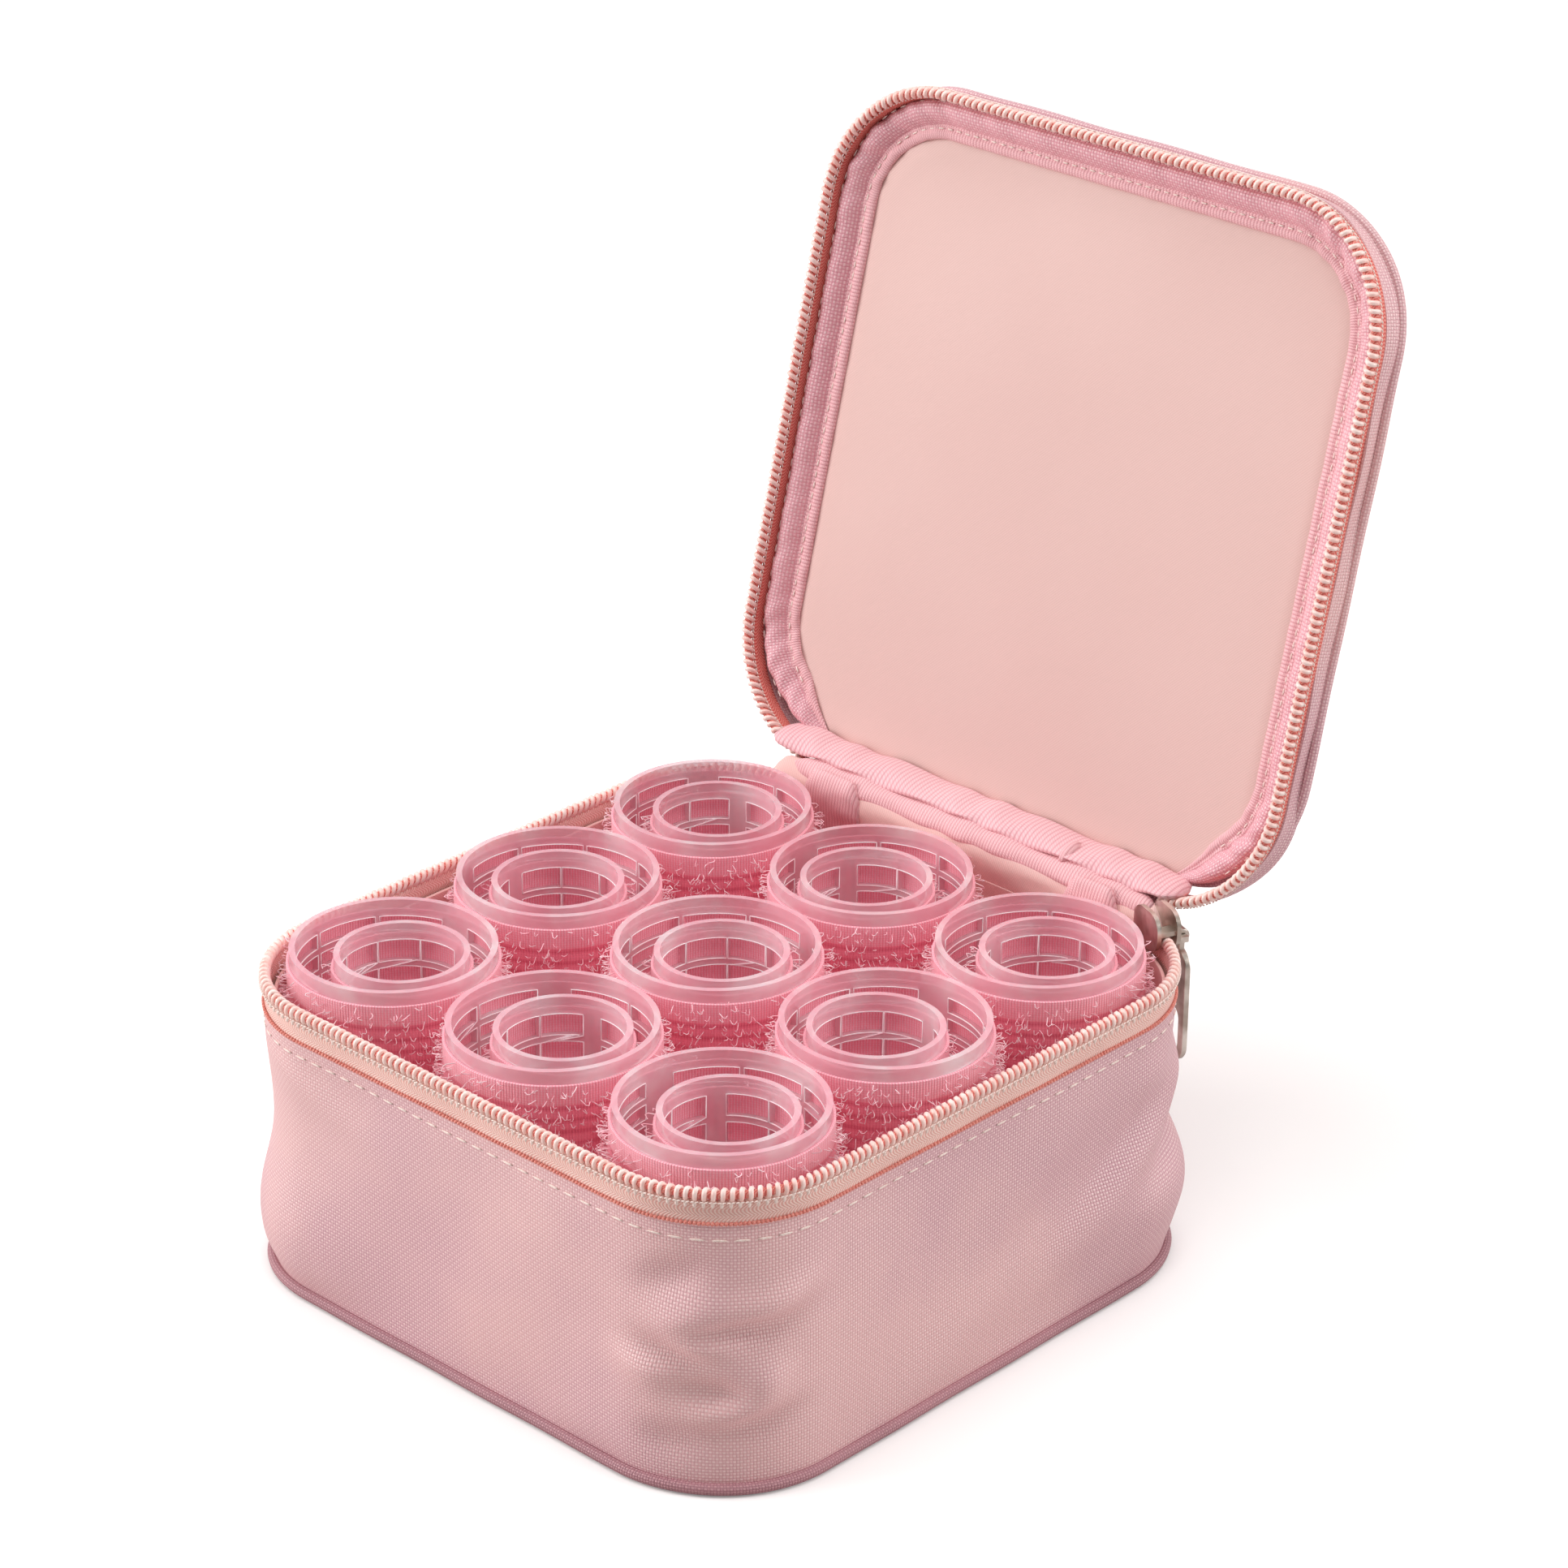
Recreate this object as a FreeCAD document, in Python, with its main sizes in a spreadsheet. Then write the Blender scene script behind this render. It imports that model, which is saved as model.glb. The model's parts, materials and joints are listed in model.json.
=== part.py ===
"""A set of self-grip hair rollers standing in a soft, zip-round case with its lid open.

Nine large rollers stand in a three by three grid in the case, each with a small roller inside it.
X runs along the hinge, Y from the front to the hinge, Z up; the origin is the middle of the base.
Every length is in millimetres and every angle in degrees.
"""

import FreeCAD, Part
import math
import os
import Sketcher

SIZES = {
    # case, outside
    "tub_half_x": 68.2,
    "tub_half_y": 69.4,
    "corner_radius": 26.0,
    "wall_top": 56.0,
    "rim_height": 62.85,
    # fabric layers, from outside to inside
    "fabric": 0.9,
    "foam": 1.0,
    "lining": 0.7,
    "board": 2.0,
    "base_fabric": 0.8,
    "piping_width": 1.5,
    "piping_height": 2.6,
    # zip
    "tape": 0.8,
    "tape_inset": 0.2,
    "coil_width": 2.0,
    "coil_height": 2.25,
    "coil_stand_out": 0.7,
    "zip_end_x": 46.0,
    # lid, measured from the hinge line while it is closed
    "hinge_y": 71.0,
    "hinge_z": 63.8,
    "lid_open_angle": 104.5,
    "lid_half_x": 69.1,
    "lid_rear": 1.1,
    "lid_front": 140.4,
    "lid_rigid_from": 5.0,
    "lid_zip_from": 8.9,
    "lid_coil_gap": 0.75,
    "lid_tape_height": 2.5,
    "lid_band_height": 4.1,
    "lid_lining_depth": 7.4,
    "lid_board_depth": 8.0,
    "lid_binding_width": 6.0,
    "lid_binding_height": 1.4,
    # hinge fabric
    "hinge_half_x": 46.0,
    "hinge_fabric": 1.2,
    "hinge_knee_drop": 3.0,
    "hinge_end_gap": 0.4,
    "tab_inner_x": 26.0,
    "tab_outer_x": 43.0,
    "tab_height": 12.0,
    "tab_thickness": 1.0,
    "binding_height": 4.0,
    # rollers
    "roller_length": 63.0,
    "roller_pitch": 43.2,
    "grid_shift_x": -0.5,
    "grid_shift_y": -0.6,
    "core_wall": 1.2,
    "grip_lip": 3.8,
    "grip_thickness": 1.6,
    "large_radius": 19.8,
    "small_radius": 12.9,
    "end_band": 3.5,
    "ring_height": 1.3,
    "large_windows_high": 13,
    "small_windows_high": 10,
    "columns_in_half": 4,
    "narrow_rib_angle": 5.0,
    "wide_rib_angle": 22.0,
    "turn_step": 37.0,
    "lean_offset": 3.4,
    # slider and pull
    "slider_angle": 68.0,
    "slider_length": 9.5,
    "slider_height": 8.0,
    "slider_plate": 0.9,
    "slider_flat_end": 0.8,
    "slider_nose": 0.5,
    "slider_inner_gap": 2.0,
    "slider_outer_gap": 1.4,
    "slider_wedge": 1.0,
    "slider_wedge_length": 2.6,
    "bail_out": 4.3,
    "bail_down": 2.5,
    "bail_bar_radius": 0.6,
    "bail_leg_x": 2.6,
    "pull_width": 9.0,
    "pull_length": 27.0,
    "pull_plate": 1.2,
    "pull_flat_end": 0.4,
    "pull_eye_radius": 1.6,
    "pull_eye_width": 3.6,
    "pull_eye_clearance": 0.08,
    "pull_neck": 2.4,
    "pull_slot_width": 5.0,
    "pull_slot_length": 9.5,
    "pull_slot_end": 2.0,
    "pull_slot_flat_end": 0.2,
    # how far every cut runs past the face it opens
    "cut_past": 1.0,
}

# Which way each small roller has slid inside its large one, from +X, along each row of the grid.
LEAN_ANGLES = {
    (-1, -1): -15,
    (0, -1): -11,
    (1, -1): -26,
    (-1, 0): -44,
    (0, 0): -30,
    (1, 0): -78,
    (-1, 1): -30,
    (0, 1): -64,
    (1, 1): -24,
}

doc = FreeCAD.newDocument("RollerCase")
sheet = doc.addObject("Spreadsheet::Sheet", "Dims")
for row, (alias, value) in enumerate(SIZES.items(), start=1):
    sheet.set(f"A{row}", alias)
    sheet.set(f"B{row}", str(value))
    sheet.setAlias(f"B{row}", alias)
doc.recompute()


def value_of(expression):
    """The present value of an expression on the sheet's cells, as a plain number."""
    result = sheet.evalExpression(expression)
    return float(getattr(result, "Value", result))


# ---------------------------------------------------------------- sketches and features


def new_sketch(body, name, role="XY_Plane", **offsets):
    """A sketch on one of the body's origin planes, moved along x, y or z by expressions."""
    sketch = body.newObject("Sketcher::SketchObject", name)
    plane = next(f for f in body.Origin.OriginFeatures if f.Role == role)
    sketch.AttachmentSupport = [(plane, "")]
    sketch.MapMode = "FlatFace"
    for axis, expression in offsets.items():
        sketch.setExpression(f"AttachmentOffset.Base.{axis}", expression)
    return sketch


def bind(sketch, index, name, expression):
    """Name a constraint and give it its value from the sheet."""
    sketch.renameConstraint(index, name)
    sketch.setExpression(f"Constraints.{name}", expression)


def add_rounded_rectangle(sketch, half_x, half_y, radius, tag):
    """A rounded rectangle about the sketch's origin, its three sizes bound to the sheet."""
    a, b, r = value_of(half_x), value_of(half_y), value_of(radius)
    vector = FreeCAD.Vector
    corners = [(a - r, b - r, 0), (r - a, b - r, 90), (r - a, r - b, 180), (a - r, r - b, 270)]
    arcs = []
    for x, y, start in corners:
        circle = Part.Circle(vector(x, y, 0), vector(0, 0, 1), r)
        begin = math.radians(start)
        arcs.append(sketch.addGeometry(Part.ArcOfCircle(circle, begin, begin + math.pi / 2), False))
    ends = [
        (vector(a - r, b, 0), vector(r - a, b, 0)),
        (vector(-a, b - r, 0), vector(-a, r - b, 0)),
        (vector(r - a, -b, 0), vector(a - r, -b, 0)),
        (vector(a, r - b, 0), vector(a, b - r, 0)),
    ]
    lines = [sketch.addGeometry(Part.LineSegment(p, q), False) for p, q in ends]
    for n in range(4):
        sketch.addConstraint(Sketcher.Constraint("Tangent", arcs[n], 2, lines[n], 1))
        sketch.addConstraint(Sketcher.Constraint("Tangent", lines[n], 2, arcs[(n + 1) % 4], 1))
        sketch.addConstraint(Sketcher.Constraint(("Horizontal", "Vertical")[n % 2], lines[n]))
    for n in range(3):
        sketch.addConstraint(Sketcher.Constraint("Equal", arcs[n], arcs[n + 1]))
    top, left, bottom, right = lines
    sides = [
        ("right", Sketcher.Constraint("DistanceX", -1, 1, right, 1, a), half_x),
        ("left", Sketcher.Constraint("DistanceX", left, 1, -1, 1, a), half_x),
        ("back", Sketcher.Constraint("DistanceY", -1, 1, top, 1, b), half_y),
        ("front", Sketcher.Constraint("DistanceY", bottom, 1, -1, 1, b), half_y),
        ("corner", Sketcher.Constraint("Radius", arcs[0], r), radius),
    ]
    for side, constraint, expression in sides:
        bind(sketch, sketch.addConstraint(constraint), f"{tag}_{side}", expression)


def add_rectangle(sketch, left, right, low, high, tag):
    """A plain rectangle between four expressions."""
    x0, x1, y0, y1 = (value_of(e) for e in (left, right, low, high))
    points = [FreeCAD.Vector(x, y, 0) for x, y in ((x0, y0), (x1, y0), (x1, y1), (x0, y1))]
    lines = []
    for n in range(4):
        segment = Part.LineSegment(points[n], points[(n + 1) % 4])
        lines.append(sketch.addGeometry(segment, False))
    for n in range(4):
        sketch.addConstraint(Sketcher.Constraint("Coincident", lines[n], 2, lines[(n + 1) % 4], 1))
        sketch.addConstraint(Sketcher.Constraint(("Horizontal", "Vertical")[n % 2], lines[n]))
    sides = [
        ("left", "DistanceX", lines[0], 1, x0, left),
        ("right", "DistanceX", lines[1], 1, x1, right),
        ("low", "DistanceY", lines[0], 1, y0, low),
        ("high", "DistanceY", lines[2], 1, y1, high),
    ]
    for side, kind, line, point, value, expression in sides:
        index = sketch.addConstraint(Sketcher.Constraint(kind, line, point, value))
        bind(sketch, index, f"{tag}_{side}", expression)


def add_circle(sketch, x, y, radius, tag):
    """A circle whose centre and radius are bound to the sheet."""
    centre = FreeCAD.Vector(value_of(x), value_of(y), 0)
    circle = sketch.addGeometry(Part.Circle(centre, FreeCAD.Vector(0, 0, 1), value_of(radius)), False)
    if centre.Length == 0:
        sketch.addConstraint(Sketcher.Constraint("Coincident", circle, 3, -1, 1))
    else:
        for axis, value, expression in (("X", centre.x, x), ("Y", centre.y, y)):
            constraint = Sketcher.Constraint(f"Distance{axis}", circle, 3, value)
            bind(sketch, sketch.addConstraint(constraint), f"{tag}_{axis}", expression)
    index = sketch.addConstraint(Sketcher.Constraint("Radius", circle, value_of(radius)))
    bind(sketch, index, f"{tag}_radius", radius)


def pad(body, sketch, length, middle=False):
    """Pad a sketch by an expression, upwards or about its own plane."""
    feature = body.newObject("PartDesign::Pad", f"{sketch.Name}_pad")
    feature.Profile = sketch
    feature.SideType = "Symmetric" if middle else "One side"
    feature.setExpression("Length", length)
    return feature


def pocket(body, sketch, length, middle=False):
    """Cut a sketch out of the body, downwards or about its own plane."""
    feature = body.newObject("PartDesign::Pocket", f"{sketch.Name}_pocket")
    feature.Profile = sketch
    feature.SideType = "Symmetric" if middle else "One side"
    feature.setExpression("Length", length)
    return feature


def new_body(name):
    """An empty body that is one sub-part of the set."""
    body = doc.addObject("PartDesign::Body", name)
    body.Label = name
    return body


def smaller(expression, inset):
    """An expression less an inset, or itself where there is none."""
    return f"{expression} - ({inset})" if inset else expression


# ---------------------------------------------------------------- case layers


def case_layer(name, low, height, inset, thickness=None, cut_back=False):
    """A plate, or a ring of a given thickness, that follows the tub's outline."""
    body = new_body(name)
    sketch = new_sketch(body, f"{name}_outline", z=low)
    outline = ["Dims.tub_half_x", "Dims.tub_half_y", "Dims.corner_radius"]
    add_rounded_rectangle(sketch, *[smaller(e, inset) for e in outline], "outer")
    if thickness:
        inner = f"{inset} + {thickness}"
        add_rounded_rectangle(sketch, *[smaller(e, inner) for e in outline], "inner")
    pad(body, sketch, height)
    if cut_back:
        gap = new_sketch(body, f"{name}_gap", z=f"{low} + {height} + Dims.cut_past")
        back = ["Dims.tub_half_y - Dims.corner_radius / 2", "Dims.tub_half_y + Dims.cut_past"]
        add_rectangle(gap, "-Dims.zip_end_x", "Dims.zip_end_x", *back, "gap")
        pocket(body, gap, f"{height} + 2 * Dims.cut_past")
    return body


LINING_INSET = "Dims.fabric + Dims.foam"
FLOOR_TOP = "Dims.base_fabric + Dims.board + Dims.lining"
COIL_LOW = "Dims.rim_height - Dims.coil_height"

case_layer("base_panel", "0", "Dims.base_fabric", "0")
case_layer("base_piping", "0", "Dims.piping_height", "-Dims.piping_width", "Dims.piping_width")
case_layer("base_board", "Dims.base_fabric", "Dims.board", LINING_INSET)
case_layer("base_lining", "Dims.base_fabric + Dims.board", "Dims.lining", LINING_INSET)
case_layer("tub_wall", "Dims.base_fabric", "Dims.wall_top - Dims.base_fabric", "0", "Dims.fabric")
case_layer("wall_foam", "Dims.base_fabric", "Dims.wall_top - 1 - Dims.base_fabric", "Dims.fabric",
           "Dims.foam")
case_layer("tub_lining", FLOOR_TOP, f"Dims.wall_top + 2 - ({FLOOR_TOP})", LINING_INSET, "Dims.lining")
case_layer("tub_zip_tape", "Dims.wall_top", f"{COIL_LOW} - Dims.wall_top", "Dims.tape_inset",
           "Dims.tape", cut_back=True)
case_layer("tub_zip_coil", COIL_LOW, "Dims.coil_height", "-Dims.coil_stand_out", "Dims.coil_width",
           cut_back=True)


# ---------------------------------------------------------------- lid, built closed and then swung open


LID_CENTRE = "(Dims.lid_front + Dims.lid_rear) / 2"
LID_HALF_Y = "(Dims.lid_front - Dims.lid_rear) / 2"
COIL_TOP = "Dims.lid_coil_gap + Dims.coil_height"
BAND_LOW = f"{COIL_TOP} + Dims.lid_tape_height"
BAND_TOP = f"{BAND_LOW} + Dims.lid_band_height"


def swing_open(body):
    """Put a lid piece, built closed about the hinge line, at the angle where the lid stays."""
    body.Placement = FreeCAD.Placement(
        FreeCAD.Vector(0, 0, 0), FreeCAD.Rotation(FreeCAD.Vector(-1, 0, 0), value_of("Dims.lid_open_angle"))
    )
    body.setExpression("Placement.Base.y", "Dims.hinge_y")
    body.setExpression("Placement.Base.z", "Dims.hinge_z")
    body.setExpression("Placement.Rotation.Angle", "Dims.lid_open_angle")


def lid_layer(name, low, height, inset, start, thickness=None):
    """A plate or ring that follows the lid's outline, cut off straight near the hinge."""
    body = new_body(name)
    sketch = new_sketch(body, f"{name}_outline", y=f"-({LID_CENTRE})", z=low)
    outline = ["Dims.lid_half_x", LID_HALF_Y, "Dims.corner_radius"]
    add_rounded_rectangle(sketch, *[smaller(e, inset) for e in outline], "outer")
    if thickness:
        inner = f"{inset} + {thickness}"
        add_rounded_rectangle(sketch, *[smaller(e, inner) for e in outline], "inner")
    pad(body, sketch, height)
    gap = new_sketch(body, f"{name}_gap", z=f"{low} + {height} + Dims.cut_past")
    half = "Dims.lid_half_x + Dims.piping_width + Dims.cut_past"
    back = "Dims.piping_width + Dims.cut_past"
    add_rectangle(gap, f"-({half})", half, f"-({start})", back, "gap")
    pocket(body, gap, f"{height} + 2 * Dims.cut_past")
    swing_open(body)
    return body


RIGID = "Dims.lid_rigid_from"
lid_layer("lid_panel", BAND_TOP, "Dims.fabric", "0", RIGID)
lid_layer("lid_piping", f"{BAND_TOP} - Dims.piping_height / 2", "Dims.piping_height",
          "-Dims.piping_width", RIGID, "Dims.piping_width")
lid_layer("lid_board", "Dims.lid_board_depth", f"{BAND_TOP} - Dims.lid_board_depth", "Dims.fabric", RIGID)
lid_layer("lid_lining", "Dims.lid_lining_depth", "Dims.lid_board_depth - Dims.lid_lining_depth",
          "Dims.fabric", RIGID)
lid_layer("lid_side_band", BAND_LOW, "Dims.lid_band_height", "0", RIGID, "Dims.fabric")
lid_layer("lid_zip_tape", COIL_TOP, "Dims.lid_tape_height", "Dims.tape_inset", "Dims.lid_zip_from",
          "Dims.tape")
lid_layer("lid_zip_coil", "Dims.lid_coil_gap", "Dims.coil_height", "-Dims.coil_stand_out",
          "Dims.lid_zip_from", "Dims.coil_width")


def build_lid_binding():
    """The folded tape that frames the lid's lining panel on all four sides."""
    body = new_body("lid_binding")
    low = "Dims.lid_lining_depth - Dims.lid_binding_height"
    centre = "(Dims.lid_front + Dims.lid_rigid_from) / 2"
    sketch = new_sketch(body, "lid_binding_outline", y=f"-({centre})", z=low)
    outline = [
        "Dims.lid_half_x - Dims.fabric",
        "(Dims.lid_front - Dims.lid_rigid_from) / 2 - Dims.fabric",
        "Dims.corner_radius - Dims.fabric",
    ]
    add_rounded_rectangle(sketch, *outline, "outer")
    inner = [smaller(e, "Dims.lid_binding_width") for e in outline]
    add_rounded_rectangle(sketch, *inner, "inner")
    pad(body, sketch, "Dims.lid_binding_height")
    swing_open(body)


build_lid_binding()


# ---------------------------------------------------------------- hinge fabric and zip end tabs


def lid_point(along, up):
    """Where a point of the lid, given from the hinge line while closed, stands with the lid open."""
    angle = math.radians(value_of("Dims.lid_open_angle"))
    y = value_of("Dims.hinge_y") - along * math.cos(angle) + up * math.sin(angle)
    z = value_of("Dims.hinge_z") + along * math.sin(angle) + up * math.cos(angle)
    return y, z


def build_hinge_strip():
    """The strip of wall fabric that runs on from the back wall and bends over to the lid."""
    thickness = value_of("Dims.hinge_fabric")
    outside = value_of("Dims.tub_half_y")
    low = value_of("Dims.wall_top")
    knee = value_of("Dims.hinge_z - Dims.hinge_knee_drop")
    end = value_of("Dims.lid_rigid_from - Dims.hinge_end_gap")
    profile = [
        (outside, low),
        (outside, knee),
        lid_point(end, value_of(BAND_TOP)),
        lid_point(end, value_of(BAND_TOP) - thickness),
        (outside - thickness, knee + thickness),
        (outside - thickness, low),
    ]
    half = value_of("Dims.hinge_half_x")
    wire = Part.makePolygon([FreeCAD.Vector(-half, y, z) for y, z in profile + profile[:1]])
    strip = doc.addObject("Part::Feature", "hinge_strip")
    strip.Shape = Part.Face(wire).extrude(FreeCAD.Vector(2 * half, 0, 0))


def inside_back_strip(name, left, right, height):
    """A strip of tape sewn to the top of the back lining, inside the case."""
    body = new_body(name)
    sketch = new_sketch(body, f"{name}_outline", z=f"{COIL_LOW} - {height}")
    inside = f"Dims.tub_half_y - ({LINING_INSET} + Dims.lining)"
    add_rectangle(sketch, left, right, f"{inside} - Dims.tab_thickness", inside, "tape")
    pad(body, sketch, height)


build_hinge_strip()
inside_back_strip("left_zip_tab", "-Dims.tab_outer_x", "-Dims.tab_inner_x", "Dims.tab_height")
inside_back_strip("right_zip_tab", "Dims.tab_inner_x", "Dims.tab_outer_x", "Dims.tab_height")
inside_back_strip("hinge_binding", "-Dims.tab_inner_x", "Dims.tab_inner_x", "Dims.binding_height")


# ---------------------------------------------------------------- rollers


def build_core(name, radius, windows_high):
    """The pattern for a plastic core: a tube with a ladder of windows between narrow and wide ribs."""
    body = new_body(name)
    tube = new_sketch(body, f"{name}_tube")
    add_circle(tube, "0", "0", radius, "outside")
    add_circle(tube, "0", "0", f"{radius} - Dims.core_wall", "inside")
    pad(body, tube, "Dims.roller_length")

    column = "((180 - Dims.wide_rib_angle - (Dims.columns_in_half - 1) * Dims.narrow_rib_angle)"
    column = f"{column} / Dims.columns_in_half)"
    open_height = "(Dims.roller_length - 2 * Dims.end_band)"
    pitch = f"(({open_height} + Dims.ring_height) / {windows_high})"
    half_width = f"{radius} * sin({column} / 2)"
    window = new_sketch(body, f"{name}_window", "XZ_Plane")
    low = "Dims.end_band"
    high = f"Dims.end_band + {pitch} - Dims.ring_height"
    add_rectangle(window, f"-({half_width})", half_width, low, high, "window")
    cut = pocket(body, window, f"{radius} + Dims.cut_past")
    doc.recompute()

    pattern = body.newObject("PartDesign::MultiTransform", f"{name}_ladder")
    pattern.Originals = [cut]
    up = doc.addObject("PartDesign::LinearPattern", f"{name}_up")
    across = doc.addObject("PartDesign::PolarPattern", f"{name}_across")
    opposite = doc.addObject("PartDesign::PolarPattern", f"{name}_opposite")
    for step in (up, across, opposite):
        body.addObject(step)
    axis = next(f for f in body.Origin.OriginFeatures if f.Role == "Z_Axis")
    up.Direction = (axis, [""])
    up.setExpression("Length", f"{pitch} * ({windows_high} - 1)")
    up.Occurrences = int(value_of(windows_high))
    across.Axis = (axis, [""])
    across.setExpression("Angle", f"({column} + Dims.narrow_rib_angle) * (Dims.columns_in_half - 1)")
    across.Occurrences = int(value_of("Dims.columns_in_half"))
    opposite.Axis = (axis, [""])
    opposite.Angle = 360
    opposite.Occurrences = 2
    pattern.Transformations = [up, across, opposite]
    body.Tip = pattern
    return body


def build_grip(name, radius):
    """The pattern for the sleeve of hook tape round a core, short of it at both ends."""
    body = new_body(name)
    sketch = new_sketch(body, f"{name}_sleeve", z="Dims.grip_lip")
    add_circle(sketch, "0", "0", f"{radius} + Dims.grip_thickness", "outside")
    add_circle(sketch, "0", "0", radius, "inside")
    pad(body, sketch, "Dims.roller_length - 2 * Dims.grip_lip")
    return body


def place_copy(pattern, name, number, x, y):
    """One standing copy of a core or a sleeve, turned about its own axis."""
    copy = doc.addObject("App::Link", name)
    copy.Label = name
    copy.LinkedObject = pattern
    turned = FreeCAD.Rotation(FreeCAD.Vector(0, 0, 1), value_of(f"Dims.turn_step * {number}"))
    copy.Placement = FreeCAD.Placement(FreeCAD.Vector(0, 0, 0), turned)
    copy.setExpression("Placement.Base.x", x)
    copy.setExpression("Placement.Base.y", y)
    copy.setExpression("Placement.Base.z", FLOOR_TOP)
    copy.setExpression("Placement.Rotation.Angle", f"Dims.turn_step * {number}")
    return copy


def build_rollers():
    """Eighteen rollers, each a core and a sleeve, numbered along the rows from the front."""
    patterns = {
        "large_core": build_core("large_core_pattern", "Dims.large_radius", "Dims.large_windows_high"),
        "large_grip": build_grip("large_grip_pattern", "Dims.large_radius"),
        "small_core": build_core("small_core_pattern", "Dims.small_radius", "Dims.small_windows_high"),
        "small_grip": build_grip("small_grip_pattern", "Dims.small_radius"),
    }
    copies = []
    for number, ((column, row), lean) in enumerate(LEAN_ANGLES.items(), start=1):
        x = f"Dims.grid_shift_x + Dims.roller_pitch * {column}"
        y = f"Dims.grid_shift_y + Dims.roller_pitch * {row}"
        for kind, pattern in patterns.items():
            if kind.startswith("small"):
                place = (f"{x} + Dims.lean_offset * cos({lean})", f"{y} + Dims.lean_offset * sin({lean})")
                turns = number + len(LEAN_ANGLES)
            else:
                place = (x, y)
                turns = number
            copies.append(place_copy(pattern, f"{kind}_{number}", turns, *place))
    return list(patterns.values()), copies


pattern_bodies, roller_copies = build_rollers()


# ---------------------------------------------------------------- zip slider and its pull


COIL_RADIUS = "(Dims.corner_radius + Dims.coil_stand_out - Dims.coil_width / 2)"
SLIDER_Z = "(Dims.rim_height + (Dims.hinge_z + Dims.lid_coil_gap - Dims.rim_height) / 2)"


def put_on_corner(body):
    """Stand a piece on the coil at the back right corner, with its own +Y facing outwards."""
    turned = FreeCAD.Rotation(FreeCAD.Vector(0, 0, 1), value_of("Dims.slider_angle - 90"))
    body.Placement = FreeCAD.Placement(FreeCAD.Vector(0, 0, 0), turned)
    centre = {"x": "Dims.tub_half_x - Dims.corner_radius", "y": "Dims.tub_half_y - Dims.corner_radius"}
    body.setExpression("Placement.Base.x", f"{centre['x']} + {COIL_RADIUS} * cos(Dims.slider_angle)")
    body.setExpression("Placement.Base.y", f"{centre['y']} + {COIL_RADIUS} * sin(Dims.slider_angle)")
    body.setExpression("Placement.Base.z", SLIDER_Z)


def side_plate(body, name, inner_face, outer_face):
    """One rounded plate of the slider, standing along the coil between two distances from it."""
    sketch = new_sketch(body, name, "XZ_Plane", z=f"-({inner_face} + {outer_face}) / 2")
    corner = "Dims.slider_height / 2 - Dims.slider_flat_end"
    sizes = ["Dims.slider_length / 2", "Dims.slider_height / 2", corner]
    add_rounded_rectangle(sketch, *sizes, "plate")
    pad(body, sketch, "Dims.slider_plate", middle=True)


def build_slider():
    """Two plates either side of the coils, joined by the wedge, with a bail outside for the pull."""
    body = new_body("zip_slider")
    inner = "Dims.slider_inner_gap"
    outer = "Dims.slider_outer_gap"
    wedge = new_sketch(body, "slider_wedge", z="-Dims.slider_wedge / 2")
    nose = "Dims.slider_length / 2 - Dims.slider_nose"
    add_rectangle(wedge, f"{nose} - Dims.slider_wedge_length", nose, f"-({inner} + Dims.slider_plate / 2)",
                  f"{outer} + Dims.slider_plate / 2", "wedge")
    pad(body, wedge, "Dims.slider_wedge")
    side_plate(body, "slider_inside", f"-{inner}", f"-({inner} + Dims.slider_plate)")
    side_plate(body, "slider_outside", outer, f"{outer} + Dims.slider_plate")
    for side, sign in (("left", "-"), ("right", "")):
        legs = new_sketch(body, f"bail_{side}", z="-Dims.bail_down - Dims.bail_bar_radius")
        middle = f"{sign}Dims.bail_leg_x"
        edges = [f"{middle} - Dims.bail_bar_radius", f"{middle} + Dims.bail_bar_radius"]
        add_rectangle(legs, *edges, f"{outer} + Dims.slider_plate / 2",
                      "Dims.bail_out + Dims.bail_bar_radius", "leg")
        pad(body, legs, "2 * Dims.bail_bar_radius")
    bar = new_sketch(body, "bail_bar", "YZ_Plane")
    add_circle(bar, "Dims.bail_out", "-Dims.bail_down", "Dims.bail_bar_radius", "bar")
    pad(body, bar, "2 * Dims.bail_leg_x", middle=True)
    put_on_corner(body)


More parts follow.
